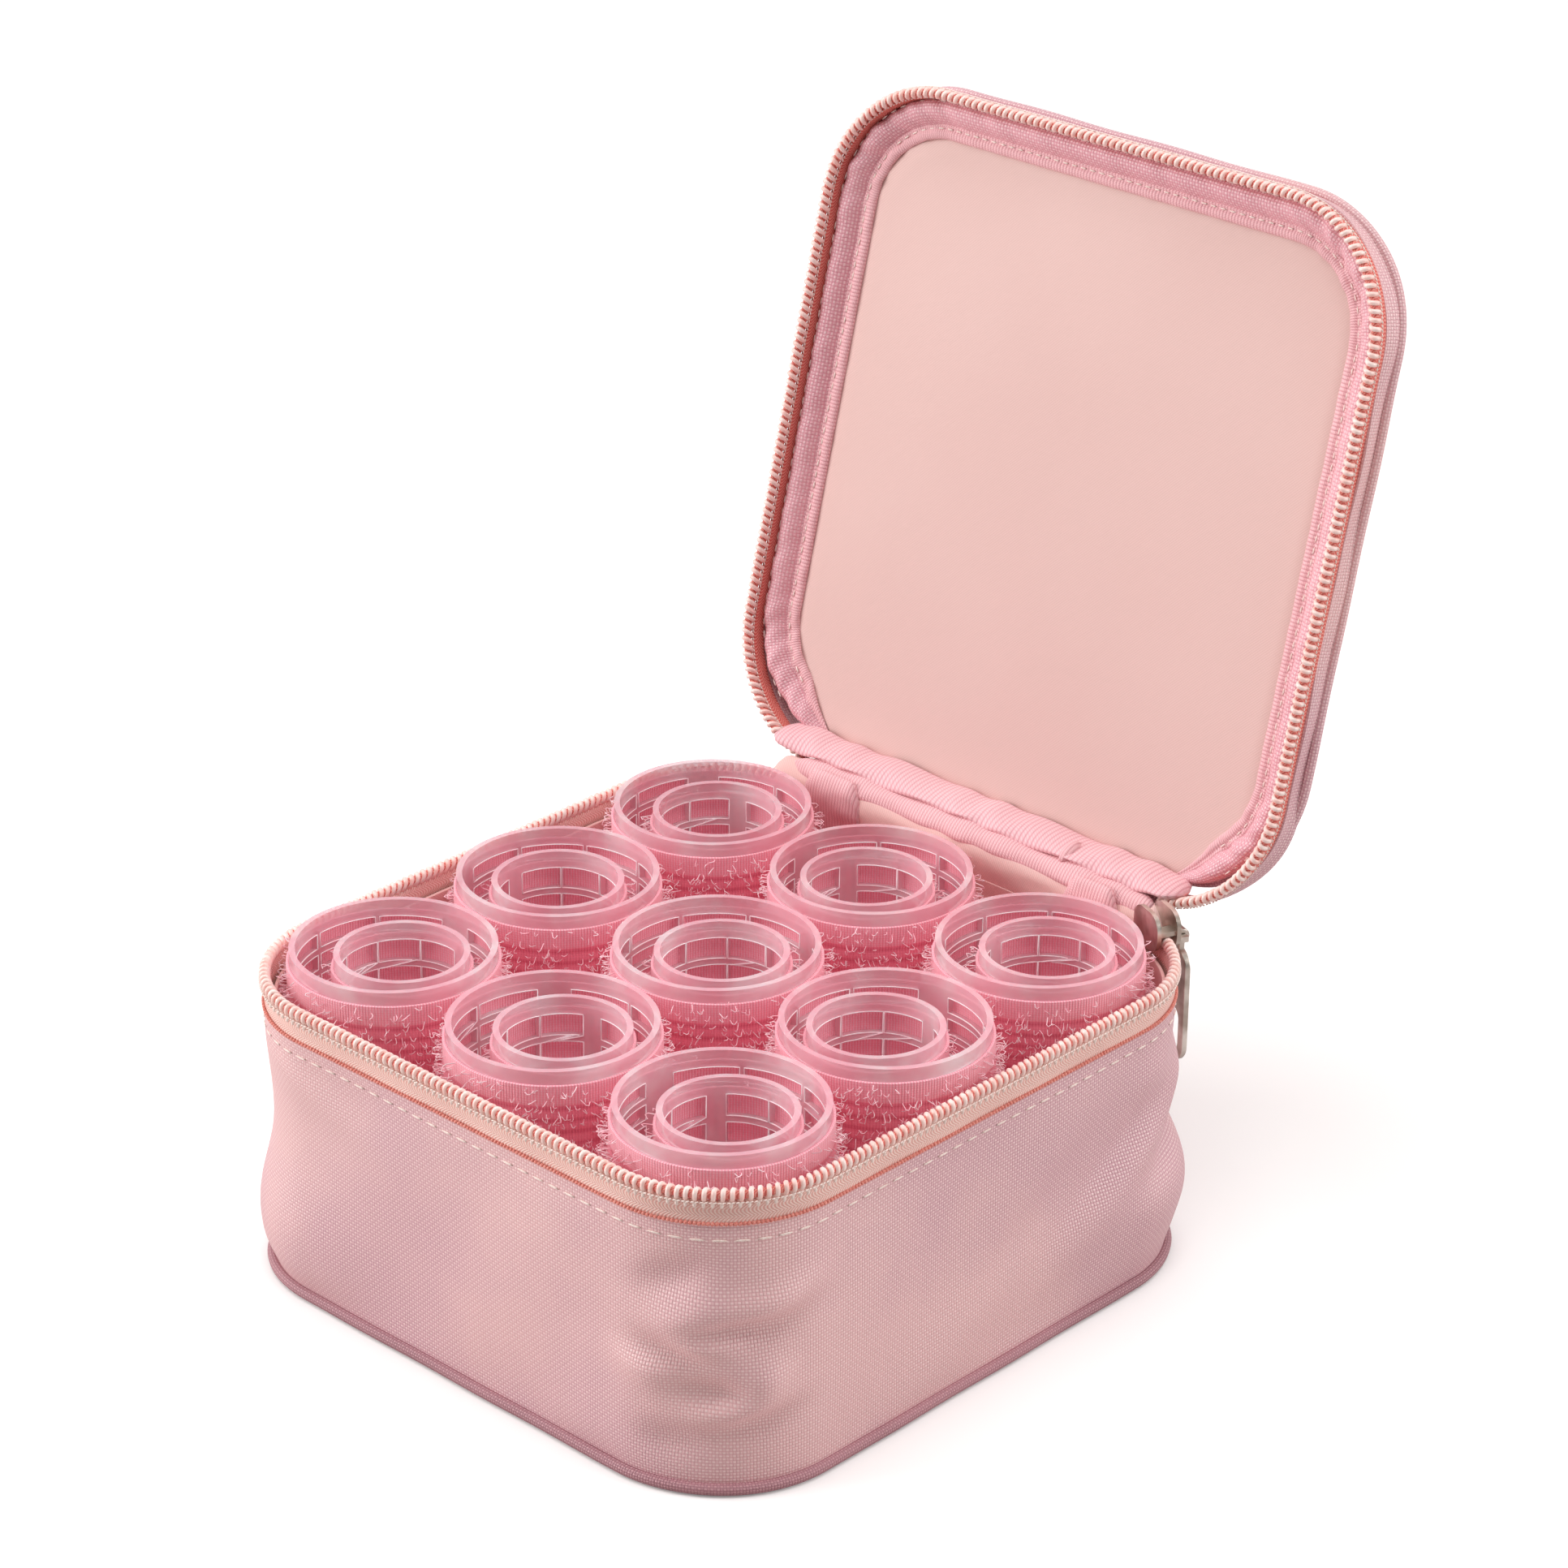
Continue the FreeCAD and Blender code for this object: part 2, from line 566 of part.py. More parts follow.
def build_pull():
    """The long flat pull with its round eye on the bail and an oblong hole at its free end."""
    body = new_body("zip_pull")
    low = "-Dims.bail_down - Dims.pull_length"
    top = "-Dims.bail_down - Dims.pull_neck"
    half_height = f"(({top}) - ({low})) / 2"
    plate = new_sketch(body, "pull_plate_outline", "XZ_Plane", y=f"(({top}) + ({low})) / 2",
                       z="-Dims.bail_out")
    corner = "Dims.pull_width / 2 - Dims.pull_flat_end"
    add_rounded_rectangle(plate, "Dims.pull_width / 2", half_height, corner, "plate")
    pad(body, plate, "Dims.pull_plate", middle=True)
    neck = new_sketch(body, "pull_neck_outline", "XZ_Plane", z="-Dims.bail_out")
    add_rectangle(neck, "-Dims.pull_eye_width / 2", "Dims.pull_eye_width / 2",
                  "-Dims.bail_down - 2 * Dims.pull_neck", "-Dims.bail_down - Dims.bail_bar_radius", "neck")
    pad(body, neck, "Dims.pull_plate", middle=True)
    eye = new_sketch(body, "pull_eye", "YZ_Plane")
    add_circle(eye, "Dims.bail_out", "-Dims.bail_down", "Dims.pull_eye_radius", "eye")
    pad(body, eye, "Dims.pull_eye_width", middle=True)
    hole = new_sketch(body, "pull_eye_hole", "YZ_Plane")
    add_circle(hole, "Dims.bail_out", "-Dims.bail_down", "Dims.bail_bar_radius + Dims.pull_eye_clearance",
               "hole")
    pocket(body, hole, "Dims.pull_eye_width + 2 * Dims.cut_past", middle=True)
    slot = new_sketch(body, "pull_slot", "XZ_Plane",
                      y=f"{low} + Dims.pull_slot_end + Dims.pull_slot_length / 2", z="-Dims.bail_out")
    add_rounded_rectangle(slot, "Dims.pull_slot_width / 2", "Dims.pull_slot_length / 2",
                          "Dims.pull_slot_width / 2 - Dims.pull_slot_flat_end", "slot")
    pocket(body, slot, "Dims.pull_plate + 2 * Dims.cut_past", middle=True)
    put_on_corner(body)


build_slider()
build_pull()
doc.recompute()


# ---------------------------------------------------------------- checks and export


def export_all():
    """Check the document and every sub-part, and write each sub-part to its own file."""
    failed = [o.Name for o in doc.Objects if {"Invalid", "Error"} & set(o.State)]
    if failed:
        raise RuntimeError(f"objects that failed to build: {failed}")
    bodies = [o for o in doc.Objects if o.TypeId == "PartDesign::Body" and o not in pattern_bodies]
    shaped = [o for o in doc.Objects if o.TypeId == "Part::Feature"]
    os.makedirs("parts", exist_ok=True)
    for part in bodies + shaped + roller_copies:
        shape = Part.getShape(part)
        if shape.isNull() or not shape.isValid() or len(shape.Solids) != 1:
            raise RuntimeError(f"{part.Label} is not one valid solid")
        shape.exportStep(os.path.join("parts", f"{part.Label}.step"))
        print(f"{part.Label}: {shape.Volume:.1f} mm3")


export_all()
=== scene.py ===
# %% [markdown]
# A set of eighteen self-grip hair rollers stands in a soft zip case with its lid open.
# Everything starts from the imported model: it gives every part's place, so nothing here is placed by eye.

# %% Load the imported model
import json
import math

import bmesh
import bpy
import numpy as np
from mathutils import Matrix, Vector


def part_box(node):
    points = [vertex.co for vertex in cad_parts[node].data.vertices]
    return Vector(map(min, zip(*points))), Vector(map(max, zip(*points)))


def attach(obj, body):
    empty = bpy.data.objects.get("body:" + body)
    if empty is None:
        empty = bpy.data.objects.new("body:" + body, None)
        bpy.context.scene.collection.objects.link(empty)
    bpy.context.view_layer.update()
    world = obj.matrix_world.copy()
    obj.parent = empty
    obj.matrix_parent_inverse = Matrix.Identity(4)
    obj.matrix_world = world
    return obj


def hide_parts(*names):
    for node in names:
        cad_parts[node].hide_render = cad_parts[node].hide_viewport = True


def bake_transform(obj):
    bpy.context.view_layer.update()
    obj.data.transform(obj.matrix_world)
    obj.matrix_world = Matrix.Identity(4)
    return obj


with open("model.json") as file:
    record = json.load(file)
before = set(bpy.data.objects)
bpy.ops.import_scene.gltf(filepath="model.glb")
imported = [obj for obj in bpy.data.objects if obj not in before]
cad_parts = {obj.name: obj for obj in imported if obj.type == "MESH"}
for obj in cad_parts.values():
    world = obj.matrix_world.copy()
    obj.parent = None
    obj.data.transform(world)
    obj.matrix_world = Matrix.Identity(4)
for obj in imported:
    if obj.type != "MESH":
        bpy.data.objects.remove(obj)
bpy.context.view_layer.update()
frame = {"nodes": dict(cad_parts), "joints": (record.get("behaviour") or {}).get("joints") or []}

MM = 0.001


def shown(name, data):
    """A new object in the scene that holds a mesh, a light or a camera."""
    piece = bpy.data.objects.new(name, data)
    bpy.context.scene.collection.objects.link(piece)
    return piece


# %% [markdown]
# The case's sizes are read from the model's own parts, and the hinge from its joint.
# Everything below is written in millimetres and turned into metres when a mesh is made,
# because a sewing allowance or a thread is easier to picture that way.

# %% Sizes of the case, the lid and the hinge


def box_mm(node):
    """A part's lowest and highest corners, in millimetres."""
    low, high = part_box(node)
    return np.array(low) / MM, np.array(high) / MM


HALF_X, HALF_Y, WALL_TOP = box_mm("tub_wall")[1]
WALL_LOW = box_mm("tub_wall")[0][2]
CORNER = 26.0
FLOOR_TOP = box_mm("base_lining")[1][2]
TAPE_TOP = box_mm("tub_zip_tape")[1][2]
RIM_TOP = box_mm("tub_zip_coil")[1][2]
hinge = next(j for j in frame["joints"] if j["name"] == "lid_hinge")
HINGE_Y, HINGE_Z = hinge["pos_m"][1] / MM, hinge["pos_m"][2] / MM
OPEN_ANGLE = math.radians(-hinge["range_deg"][0])
LID_HALF_X, LID_REAR, LID_FRONT = 69.1, 1.1, 140.4
LID_RIGID_FROM = 5.0
print("case", round(2 * HALF_X, 1), "by", round(2 * HALF_Y, 1), "lid opens", hinge["range_deg"][0])

# %% [markdown]
# Nearly every sewn part follows the same rounded rectangle: walls, tapes, coils, bindings and piping.
# One function walks round it and gives points, outward directions and the distance walked.
# It starts at the middle of the back and goes by the left side, and it can stop short of the hinge.
# A curve object could hold the same line, but numbers keep a dozen layers parallel without effort.

# %% The outline that every layer follows


def outline(half_x, half_y, corner, step, back_gap=0.0):
    """Points, outward directions and distances along a rounded rectangle, in millimetres."""
    flat_x, flat_y = half_x - corner, half_y - corner
    arc = corner * math.pi / 2
    runs = [flat_x, arc, 2 * flat_y, arc, 2 * flat_x, arc, 2 * flat_y, arc, flat_x]
    centres = [(-flat_x, flat_y), (-flat_x, -flat_y), (flat_x, -flat_y), (flat_x, flat_y)]
    total = sum(runs)
    is_open = back_gap > 0
    count = round((total - 2 * back_gap) / step)
    distances = np.linspace(back_gap, total - back_gap, count + is_open, endpoint=is_open)
    points, outward = [], []
    for distance in distances:
        part = 0
        while part < 8 and distance > runs[part]:
            distance -= runs[part]
            part += 1
        turn = math.radians(90 * (1 + part // 2))
        if part % 2:
            turn += distance / corner
            start, distance = centres[part // 2], 0.0
        else:
            start = centres[part // 2 - 1] if part else (0.0, flat_y)
        normal = np.array((math.cos(turn), math.sin(turn)))
        heading = np.array((-normal[1], normal[0]))
        points.append(np.array(start) + corner * normal + heading * distance)
        outward.append(normal)
    return {"points": np.array(points), "outward": np.array(outward), "distances": distances,
            "total": total, "closed": not is_open}


TUB = (HALF_X, HALF_Y, CORNER)
tub_path = outline(*TUB, step=1.5)
CORNER_AT = {"left": tub_path["total"] / 2 - (HALF_X - CORNER) - CORNER * math.pi / 4,
             "front": tub_path["total"] / 2 + (HALF_X - CORNER) + CORNER * math.pi / 4}
CORNER_AT["right"] = CORNER_AT["front"] + 2 * (HALF_Y - CORNER) + CORNER * math.pi / 2
print("round the case", round(tub_path["total"]), "mm")

# %% [markdown]
# The lid is drawn lying closed and then swung open about the hinge, as the real one moves.
# It could be drawn standing open, but its sections are easier to read when they lie flat.
# A point of the lid is given by x, its distance from the hinge line, and its height above the rim.

# %% Where the lid's points stand


def on_case(points):
    """Points of the case stay where they are."""
    return points


def on_lid(centre):
    """Returns a function that swings points of the closed lid open; y counts back from centre."""

    def swing(points):
        along = centre - points[..., 1]
        up = points[..., 2]
        y = HINGE_Y - along * math.cos(OPEN_ANGLE) + up * math.sin(OPEN_ANGLE)
        z = HINGE_Z + along * math.sin(OPEN_ANGLE) + up * math.cos(OPEN_ANGLE)
        return np.stack([points[..., 0], y, z], axis=-1)

    return swing


def lid_outline(rear, step, inset=0.0, back_gap=0.0):
    """An outline of the lid from a given distance behind the hinge line, and its swing."""
    half = (LID_FRONT - rear) / 2
    centre = (LID_FRONT + rear) / 2
    path = outline(LID_HALF_X - inset, half - inset, CORNER - inset, step, back_gap)
    return path, on_lid(centre)


# %% [markdown]
# Two ways of building a sewn part from the outline are enough.
# A band carries a closed cross-section round the outline: walls, tapes, bindings, piping.
# A panel fills the outline: the base, the linings and the lid's top.
# Extruding by hand would give the same shapes, but a section written as numbers is easy to change.
# Both get a UV map measured in millimetres, so that a weave keeps its true thread size everywhere.

# %% Bands and panels


def mesh_from(name, points, faces, uvs, finish):
    """A smooth-shaded object with a UV map in millimetres, its faces turned outwards."""
    mesh = bpy.data.meshes.new(name)
    mesh.from_pydata((np.asarray(points, float).reshape(-1, 3) * MM).tolist(), [], faces)
    layer = mesh.uv_layers.new(name="thread")
    layer.data.foreach_set("uv", np.asarray(uvs, np.float32).ravel())
    made = bmesh.new()
    made.from_mesh(mesh)
    bmesh.ops.remove_doubles(made, verts=made.verts, dist=1e-7)
    bmesh.ops.recalc_face_normals(made, faces=made.faces)
    made.to_mesh(mesh)
    made.free()
    mesh.polygons.foreach_set("use_smooth", [True] * len(mesh.polygons))
    if finish:
        mesh.materials.append(finish)
    return shown(name, mesh)


def skin(count, section, along, closed):
    """Faces and UVs over a row of equal sections; a row that isn't closed gets its two ends capped."""
    around = len(section)
    across = np.append(0, np.cumsum(np.linalg.norm(np.roll(section, -1, 0) - section, axis=1)))
    faces, uvs = [], []
    for i in range(count if closed else count - 1):
        j = (i + 1) % count
        for k in range(around):
            m = (k + 1) % around
            faces.append((i * around + k, j * around + k, j * around + m, i * around + m))
            uvs += [(along[i], across[k]), (along[i + 1], across[k]),
                    (along[i + 1], across[k + 1]), (along[i], across[k + 1])]
    if not closed:
        for first in (0, (count - 1) * around):
            faces.append(tuple(range(first, first + around)))
            uvs += [(0.0, 0.0)] * around
    return faces, uvs


def band(name, path, profile, place, finish, relief=None):
    """Carry a closed cross-section of (out, up) pairs round an outline.

    The relief gives how far each point moves outwards, or a pair: outwards and upwards."""
    section = np.array(profile)
    count, around = len(path["points"]), len(section)
    grid = np.zeros((count, around, 3))
    grid[..., :2] = path["points"][:, None] + path["outward"][:, None] * section[None, :, :1]
    grid[..., 2] = section[None, :, 1]
    if relief:
        shift = relief(path["distances"][:, None], section[None, :, 1], section[None, :, 0])
        out, up = shift if isinstance(shift, tuple) else (shift, 0.0)
        grid[..., :2] += path["outward"][:, None] * np.asarray(out)[..., None]
        grid[..., 2] += up
    along = np.append(path["distances"], path["total"])
    return mesh_from(name, place(grid), *skin(count, section, along, path["closed"]), finish)


def panel(name, path, profile, place, finish, relief=None):
    """Fill an outline: profile runs from the middle of one face over the edge to the other's."""
    section = np.array(profile)
    count, rings = len(path["points"]), len(section)
    grid = np.zeros((count, rings, 3))
    grid[..., :2] = path["points"][:, None] * section[None, :, :1]
    grid[..., 2] = section[None, :, 1]
    if relief:
        grid[..., 2] += relief(grid[..., 0], grid[..., 1], section[None, :, 0])
    flat = grid[..., :2].reshape(-1, 2)
    faces, uvs = [], []
    for i in range(count):
        j = (i + 1) % count
        for k in range(rings - 1):
            corners = [i * rings + k, j * rings + k, j * rings + k + 1, i * rings + k + 1]
            if section[k, 0] == 0:
                corners = [corners[0], corners[2], corners[3]]
            elif section[k + 1, 0] == 0:
                corners = [corners[0], corners[1], corners[3]]
            faces.append(tuple(corners))
            uvs += [tuple(flat[c]) for c in corners]
    return mesh_from(name, place(grid), faces, uvs, finish)


def upright(outer, inner, low, high, edge, rows):
    """An upright cross-section with rounded edges, divided so that it can be bent."""
    heights = np.linspace(low + edge, high - edge, rows)
    quarter = np.radians(np.linspace(15, 75, 3))
    top = [(outer - edge + edge * math.cos(a), high - edge + edge * math.sin(a)) for a in quarter]
    top += [(inner + edge - edge * math.sin(a), high - edge + edge * math.cos(a)) for a in quarter]
    base = [(inner + edge - edge * math.cos(a), low + edge - edge * math.sin(a)) for a in quarter]
    base += [(outer - edge + edge * math.sin(a), low + edge - edge * math.cos(a)) for a in quarter]
    return [(outer, h) for h in heights] + top + [(inner, h) for h in heights[::-1]] + base


def rounded(loop, times=2):
    """Cut the corners of a closed loop of points, so that folded tape looks soft."""
    points = np.array(loop, float)
    for _ in range(times):
        following = np.roll(points, -1, axis=0)
        points = np.stack([0.75 * points + 0.25 * following, 0.25 * points + 0.75 * following], 1)
        points = points.reshape(-1, 2)
    return points


def tube(centre, radius, count=12):
    """A round cross-section of (out, up) pairs."""
    turns = np.linspace(0, 2 * math.pi, count, endpoint=False)
    return [(centre[0] + radius * math.cos(a), centre[1] + radius * math.sin(a)) for a in turns]


# %% [markdown]
# Finishes are written as arithmetic on patterns. A small class holds one output of a node,
# and adding or multiplying two of them adds a Math node, so a weave reads like its formula.
# One method makes every node: its type, its settings and its inputs. The alternative is a page of
# node and link calls for each finish, in which a mistake is hard to see.

# %% Shader arithmetic


class Signal:
    """One output of a shader node, on which ordinary arithmetic adds Math nodes."""

    def __init__(self, finish, socket):
        self.finish, self.socket = finish, socket

    def math(self, operation, *values):
        return self.finish.node("ShaderNodeMath", {"operation": operation}, dict(enumerate(values)))

    def __add__(self, other):
        return self.math("ADD", self, other)

    def __sub__(self, other):
        return self.math("SUBTRACT", self, other)

    def __rsub__(self, other):
        return self.math("SUBTRACT", other, self)

    def __mul__(self, other):
        return self.math("MULTIPLY", self, other)

    def __pow__(self, other):
        return self.math("POWER", self, other)

    def __gt__(self, other):
        return self.math("GREATER_THAN", self, other)

    def __abs__(self):
        return self.math("ABSOLUTE", self)

    __radd__, __rmul__ = __add__, __mul__

    def cos(self):
        return self.math("COSINE", self)

    def step(self, low, high):
        """0 below low, 1 above high, smooth between them."""
        settings = {"interpolation_type": "SMOOTHSTEP"}
        return self.finish.node("ShaderNodeMapRange", settings, {0: self, 1: low, 2: high})


class Finish:
    """A material, or the room's world, whose nodes are all made by one method."""

    def __init__(self, name, shelf=bpy.data.materials):
        self.material = shelf.new(name)
        self.material.use_nodes = True
        self.tree = self.material.node_tree
        self.tree.nodes.clear()

    def node(self, kind, settings=None, inputs=None, output=0):
        made = self.tree.nodes.new(kind)
        for key, value in (settings or {}).items():
            setattr(made, key, value)
        for key, value in (inputs or {}).items():
            if isinstance(value, Signal):
                self.tree.links.new(value.socket, made.inputs[key])
            else:
                made.inputs[key].default_value = value
        return Signal(self, made.outputs[output]) if len(made.outputs) else made

    def mix(self, factor, first, second):
        return self.node("ShaderNodeMix", {"data_type": "RGBA"}, {0: factor, 6: first, 7: second}, 2)

    def thread(self):
        """The piece's UV map in millimetres, as two numbers."""
        place = self.node("ShaderNodeUVMap", {"uv_map": "thread"})
        return [self.node("ShaderNodeSeparateXYZ", None, {0: place}, n) for n in (0, 1)]

    def place(self):
        """Where a point is, in metres."""
        return self.node("ShaderNodeTexCoord", None, None, 3)

    def noise(self, scale, detail=2.0, vector=None):
        return self.node("ShaderNodeTexNoise", None,
                         {"Vector": vector or self.place(), "Scale": scale, "Detail": detail})

    def surface(self, base, roughness, height=None, depth=0.0001, strength=1.0, **fixed):
        """Finish the material with one Principled shader; fixed values go on its own sockets."""
        inputs = {"Base Color": base, "Roughness": roughness}
        if height:
            inputs["Normal"] = self.node("ShaderNodeBump", None,
                                         {"Height": height, "Distance": depth, "Strength": strength})
        inputs.update({key.replace("_", " "): value for key, value in fixed.items()})
        shader = self.node("ShaderNodeBsdfPrincipled", None, inputs)
        self.node("ShaderNodeOutputMaterial", None, {"Surface": shader})
        return self.material


def dye(code):
    """A colour written as on a dyer's card, turned into the linear values that shaders need."""
    parts = [int(code[n:n + 2], 16) / 255 for n in (0, 2, 4)]
    linear = [p / 12.92 if p < 0.04045 else ((p + 0.055) / 1.055) ** 2.4 for p in parts]
    return (*linear, 1.0)


# %% [markdown]
# Oxford cloth is a plain weave of coarse threads: each crossing shows the warp or the weft, turn about.
# The product of two cosines has exactly that chequer as its sign, and their size rounds each thread.
# The case's cloth is coated, so it is smoother and shinier than cotton, with a soft sheen.

# %% Woven finishes


def plain_weave(finish, pitch):
    """Height of a plain weave and which thread is on top, from the UV map in millimetres."""
    u, v = finish.thread()
    warp, weft = (u * (math.pi / pitch)).cos(), (v * (math.pi / pitch)).cos()
    warp_up = (warp * weft) > 0.0
    round_u, round_v = abs(warp), abs(weft)
    over_warp = round_u * (round_v ** 0.45)
    over_weft = round_v * (round_u ** 0.45)
    return over_warp * warp_up + over_weft * (1 - warp_up), warp_up


def oxford_cloth(name, deep, light, pale, pitch, gloss):
    """Coated plain-weave cloth with a paler weft, painted highlight on the thread crests, and slow changes
    of tone.
    """
    finish = Finish(name)
    height, warp_up = plain_weave(finish, pitch)
    shade = finish.noise(22.0, 3.0)
    mottled = finish.mix(shade.step(0.35, 0.68), dye(deep), dye(light))
    # Thread crests take the pale colour: partly the paler weft, partly a painted highlight where each
    # thread curves up to the light.
    woven = finish.mix(height * (0.9 - 0.35 * warp_up), mottled, dye(pale))
    rough = gloss + 0.16 * (1 - height) + 0.08 * shade
    return finish.surface(woven, rough, height, 0.00013, 0.75, Sheen_Weight=0.06,
                          Sheen_Roughness=0.4, Sheen_Tint=dye("ffe6e6"), Specular_IOR_Level=0.8)


def twill_lining(name, deep, light):
    """Thin lining cloth with fine diagonal ribs."""
    finish = Finish(name)
    u, v = finish.thread()
    rib = 0.5 + 0.5 * ((u + v) * (2 * math.pi / 0.62)).cos()
    cross = 0.5 + 0.5 * ((v - u) * (2 * math.pi / 0.8)).cos()
    height = rib * (0.7 + 0.3 * cross)
    shade = finish.noise(16.0, 2.0)
    colour = finish.mix(height * 0.5 + shade * 0.5, dye(deep), dye(light))
    return finish.surface(colour, 0.62 - 0.1 * height, height, 0.00005, 0.35, Sheen_Weight=0.15)


def ribbed_tape(name, deep, light, rib=0.75, weave=0.5):
    """Binding tape: ribs across its length, crossed by fine warp threads."""
    finish = Finish(name)
    u, v = finish.thread()
    ribs = abs((u * (math.pi / rib)).cos())
    warp = abs((v * (math.pi / weave) + u * (math.pi / rib)).cos())
    height = (ribs ** 0.6) * (0.55 + 0.45 * warp)
    shade = finish.noise(60.0, 2.0)
    colour = finish.mix(height * 0.8 + shade * 0.25, dye(deep), dye(light))
    return finish.surface(colour, 0.6 - 0.15 * height, height, 0.00014, 0.8, Sheen_Weight=0.2)


pink_cloth = oxford_cloth("pink_oxford_cloth", "cb8d9c", "e3a9ab", "ffe2e0", 0.62, 0.3)
binding_cloth = oxford_cloth("binding_oxford_cloth", "dd8c9c", "eda3b0", "ffdcdf", 0.72, 0.42)
piping_cloth = oxford_cloth("piping_cloth", "905462", "aa6c78", "d5a3a8", 0.55, 0.36)
peach_lining = twill_lining("peach_lining_cloth", "dab1aa", "ebc9c3")
# Painted light: the case's lining is the lid's lining cloth given lighter, pinker dyes, standing in for the
# light inside the case.
tub_lining_lightened = twill_lining("tub_lining_lightened_cloth", "e4b2ad", "f4cdc6")
narrow_tape = ribbed_tape("narrow_ribbed_tape", "d98a95", "ffcfd2")
print("woven finishes", len(bpy.data.materials))

# %% [markdown]
# The zip tape is a fine herringbone with a coral selvage, the coil is glossy nylon, and the threads
# are matte. Metal is satin nickel with faint rubbing marks. The roller cores are milky plastic that
# lets light in, and the sleeve is a knitted backing with fine upright ribs.
# Pictures of cloth could be wrapped round the pieces, but arithmetic stays sharp at any distance, and
# one function with a few numbers makes most of the plain finishes.

# %% Zip, thread, metal and roller finishes


def zip_tape_finish(name, low, high):
    """Herringbone tape whose colour turns coral towards its sewn edge."""
    finish = Finish(name)
    u, v = finish.thread()
    rib = 0.5 + 0.5 * ((u + abs((v * (math.pi / 2.2)).cos()) * 1.1) * (2 * math.pi / 0.7)).cos()
    height = rib * (0.6 + 0.4 * abs((v * (math.pi / 0.35)).cos()))
    peach = finish.mix(height, dye("e6aaa0"), dye("ffe6dc"))
    edge = finish.mix(height, dye("d2554d"), dye("f2a092"))
    colour = finish.mix(v.step(low, high), edge, peach)
    return finish.surface(colour, 0.6 - 0.15 * height, height, 0.0001, 0.7)


def plain_finish(name, deep, light, roughness, grain, depth, **fixed):
    """A finish whose shade and surface both wander slowly, for thread, nylon, foam and board."""
    finish = Finish(name)
    shade = finish.noise(grain, 3.0)
    colour = finish.mix(shade.step(0.3, 0.7), dye(deep), dye(light))
    return finish.surface(colour, roughness + 0.12 * shade, shade, depth, 0.5, **fixed)


def nickel_finish():
    """Satin nickel with fine rubbing marks along its length."""
    finish = Finish("satin_nickel")
    stretched = finish.node("ShaderNodeMapping", None,
                            {"Vector": finish.place(), "Scale": (1.0, 1.0, 0.12)})
    marks = finish.noise(2600.0, 2.0, stretched)
    cloud = finish.noise(160.0, 3.0)
    colour = finish.mix(cloud.step(0.35, 0.7), dye("b5a89d"), dye("efe8e0"))
    return finish.surface(colour, 0.22 + 0.22 * marks, marks, 0.00002, 0.5, Metallic=1.0)


def milky_plastic():
    """Moulded pink plastic: clear enough to glow, clouded enough to hide what is behind."""
    finish = Finish("milky_pink_plastic")
    cloud = finish.noise(90.0, 3.0)
    colour = finish.mix(cloud.step(0.4, 0.75), dye("ffc6d2"), dye("fff0f3"))
    return finish.surface(colour, 0.14 + 0.12 * cloud, finish.noise(260.0, 2.0), 0.00006, 0.4,
                          IOR=1.49, Alpha=0.55, Subsurface_Weight=0.3,
                          Subsurface_Radius=(0.004, 0.002, 0.002), Coat_Weight=0.3)


BAND_PITCH, SELVAGE = 2.4, 4.4
SLEEVE_LOW, SLEEVE_HIGH = (box_mm("large_grip_1")[n][2] + (2 * n - 1) * 1.2 for n in (0, 1))
SLEEVE_HEIGHT = SLEEVE_HIGH - SLEEVE_LOW


def knit_finish():
    """The sleeve's knitted backing: a pale ribbed edge, then a hooked part painted darker as shade under
    the hooks, with painted shade in rows between the bands, and a faint painted glow.
    """
    finish = Finish("knitted_backing")
    u, v = finish.thread()
    rib = abs((u * (math.pi / 0.55)).cos())
    row = abs((v * (math.pi / 0.5)).cos())
    height = (rib ** 0.7) * (0.6 + 0.4 * row)
    # Painted shade: the hooked part is darker than the bare edge, as shade under the hooks, and darker
    # still in the rows between hook bands, as shade in the grooves.
    belt = 0.5 + 0.5 * (v * (2 * math.pi / BAND_PITCH)).cos()
    inner = abs(v - SLEEVE_HEIGHT / 2).step(SLEEVE_HEIGHT / 2 - SELVAGE, SLEEVE_HEIGHT / 2 - SELVAGE + 0.3)
    shade = finish.mix(belt ** 2.0, dye("f58aa0"), dye("d9566f"))
    edge_shade = finish.mix(height, dye("f58ca2"), dye("ffc9d3"))
    colour = finish.mix(inner, finish.mix(height * 0.35, shade, dye("ffb6c4")), edge_shade)
    # The faint emission is a painted glow that stands in for light passing through the thin nylon.
    return finish.surface(colour, 0.62 - 0.2 * height, height, 0.00014, 0.8, Sheen_Weight=0.3,
                          Emission_Color=dye("ff6f8c"), Emission_Strength=0.08)


zip_tape = zip_tape_finish("zip_tape", 0.5, 1.5)
coral_tape = zip_tape_finish("coral_zip_tape", 90.0, 91.0)
coil_nylon = plain_finish("zip_coil_nylon", "ffd0c6", "ffe9e2", 0.24, 500.0, 0.00002, Coat_Weight=0.3)
ribbed_binding = ribbed_tape("ribbed_binding", "dd8f9b", "ffd2d6", 1.1, 0.6)
coral_thread = plain_finish("coral_thread", "d97468", "f2a597", 0.5, 3000.0, 0.00005)
sewing_thread = plain_finish("sewing_thread", "f0d8cf", "fff2ea", 0.5, 3000.0, 0.00005)
# The hooks' faint emission is a painted glow that stands in for light passing through the nylon.
hook_nylon = plain_finish("hook_nylon", "ffc4d0", "fff2f4", 0.3, 400.0, 0.00002,
                          Emission_Color=dye("ff9db0"), Emission_Strength=0.08)
nickel = nickel_finish()
core_plastic = milky_plastic()
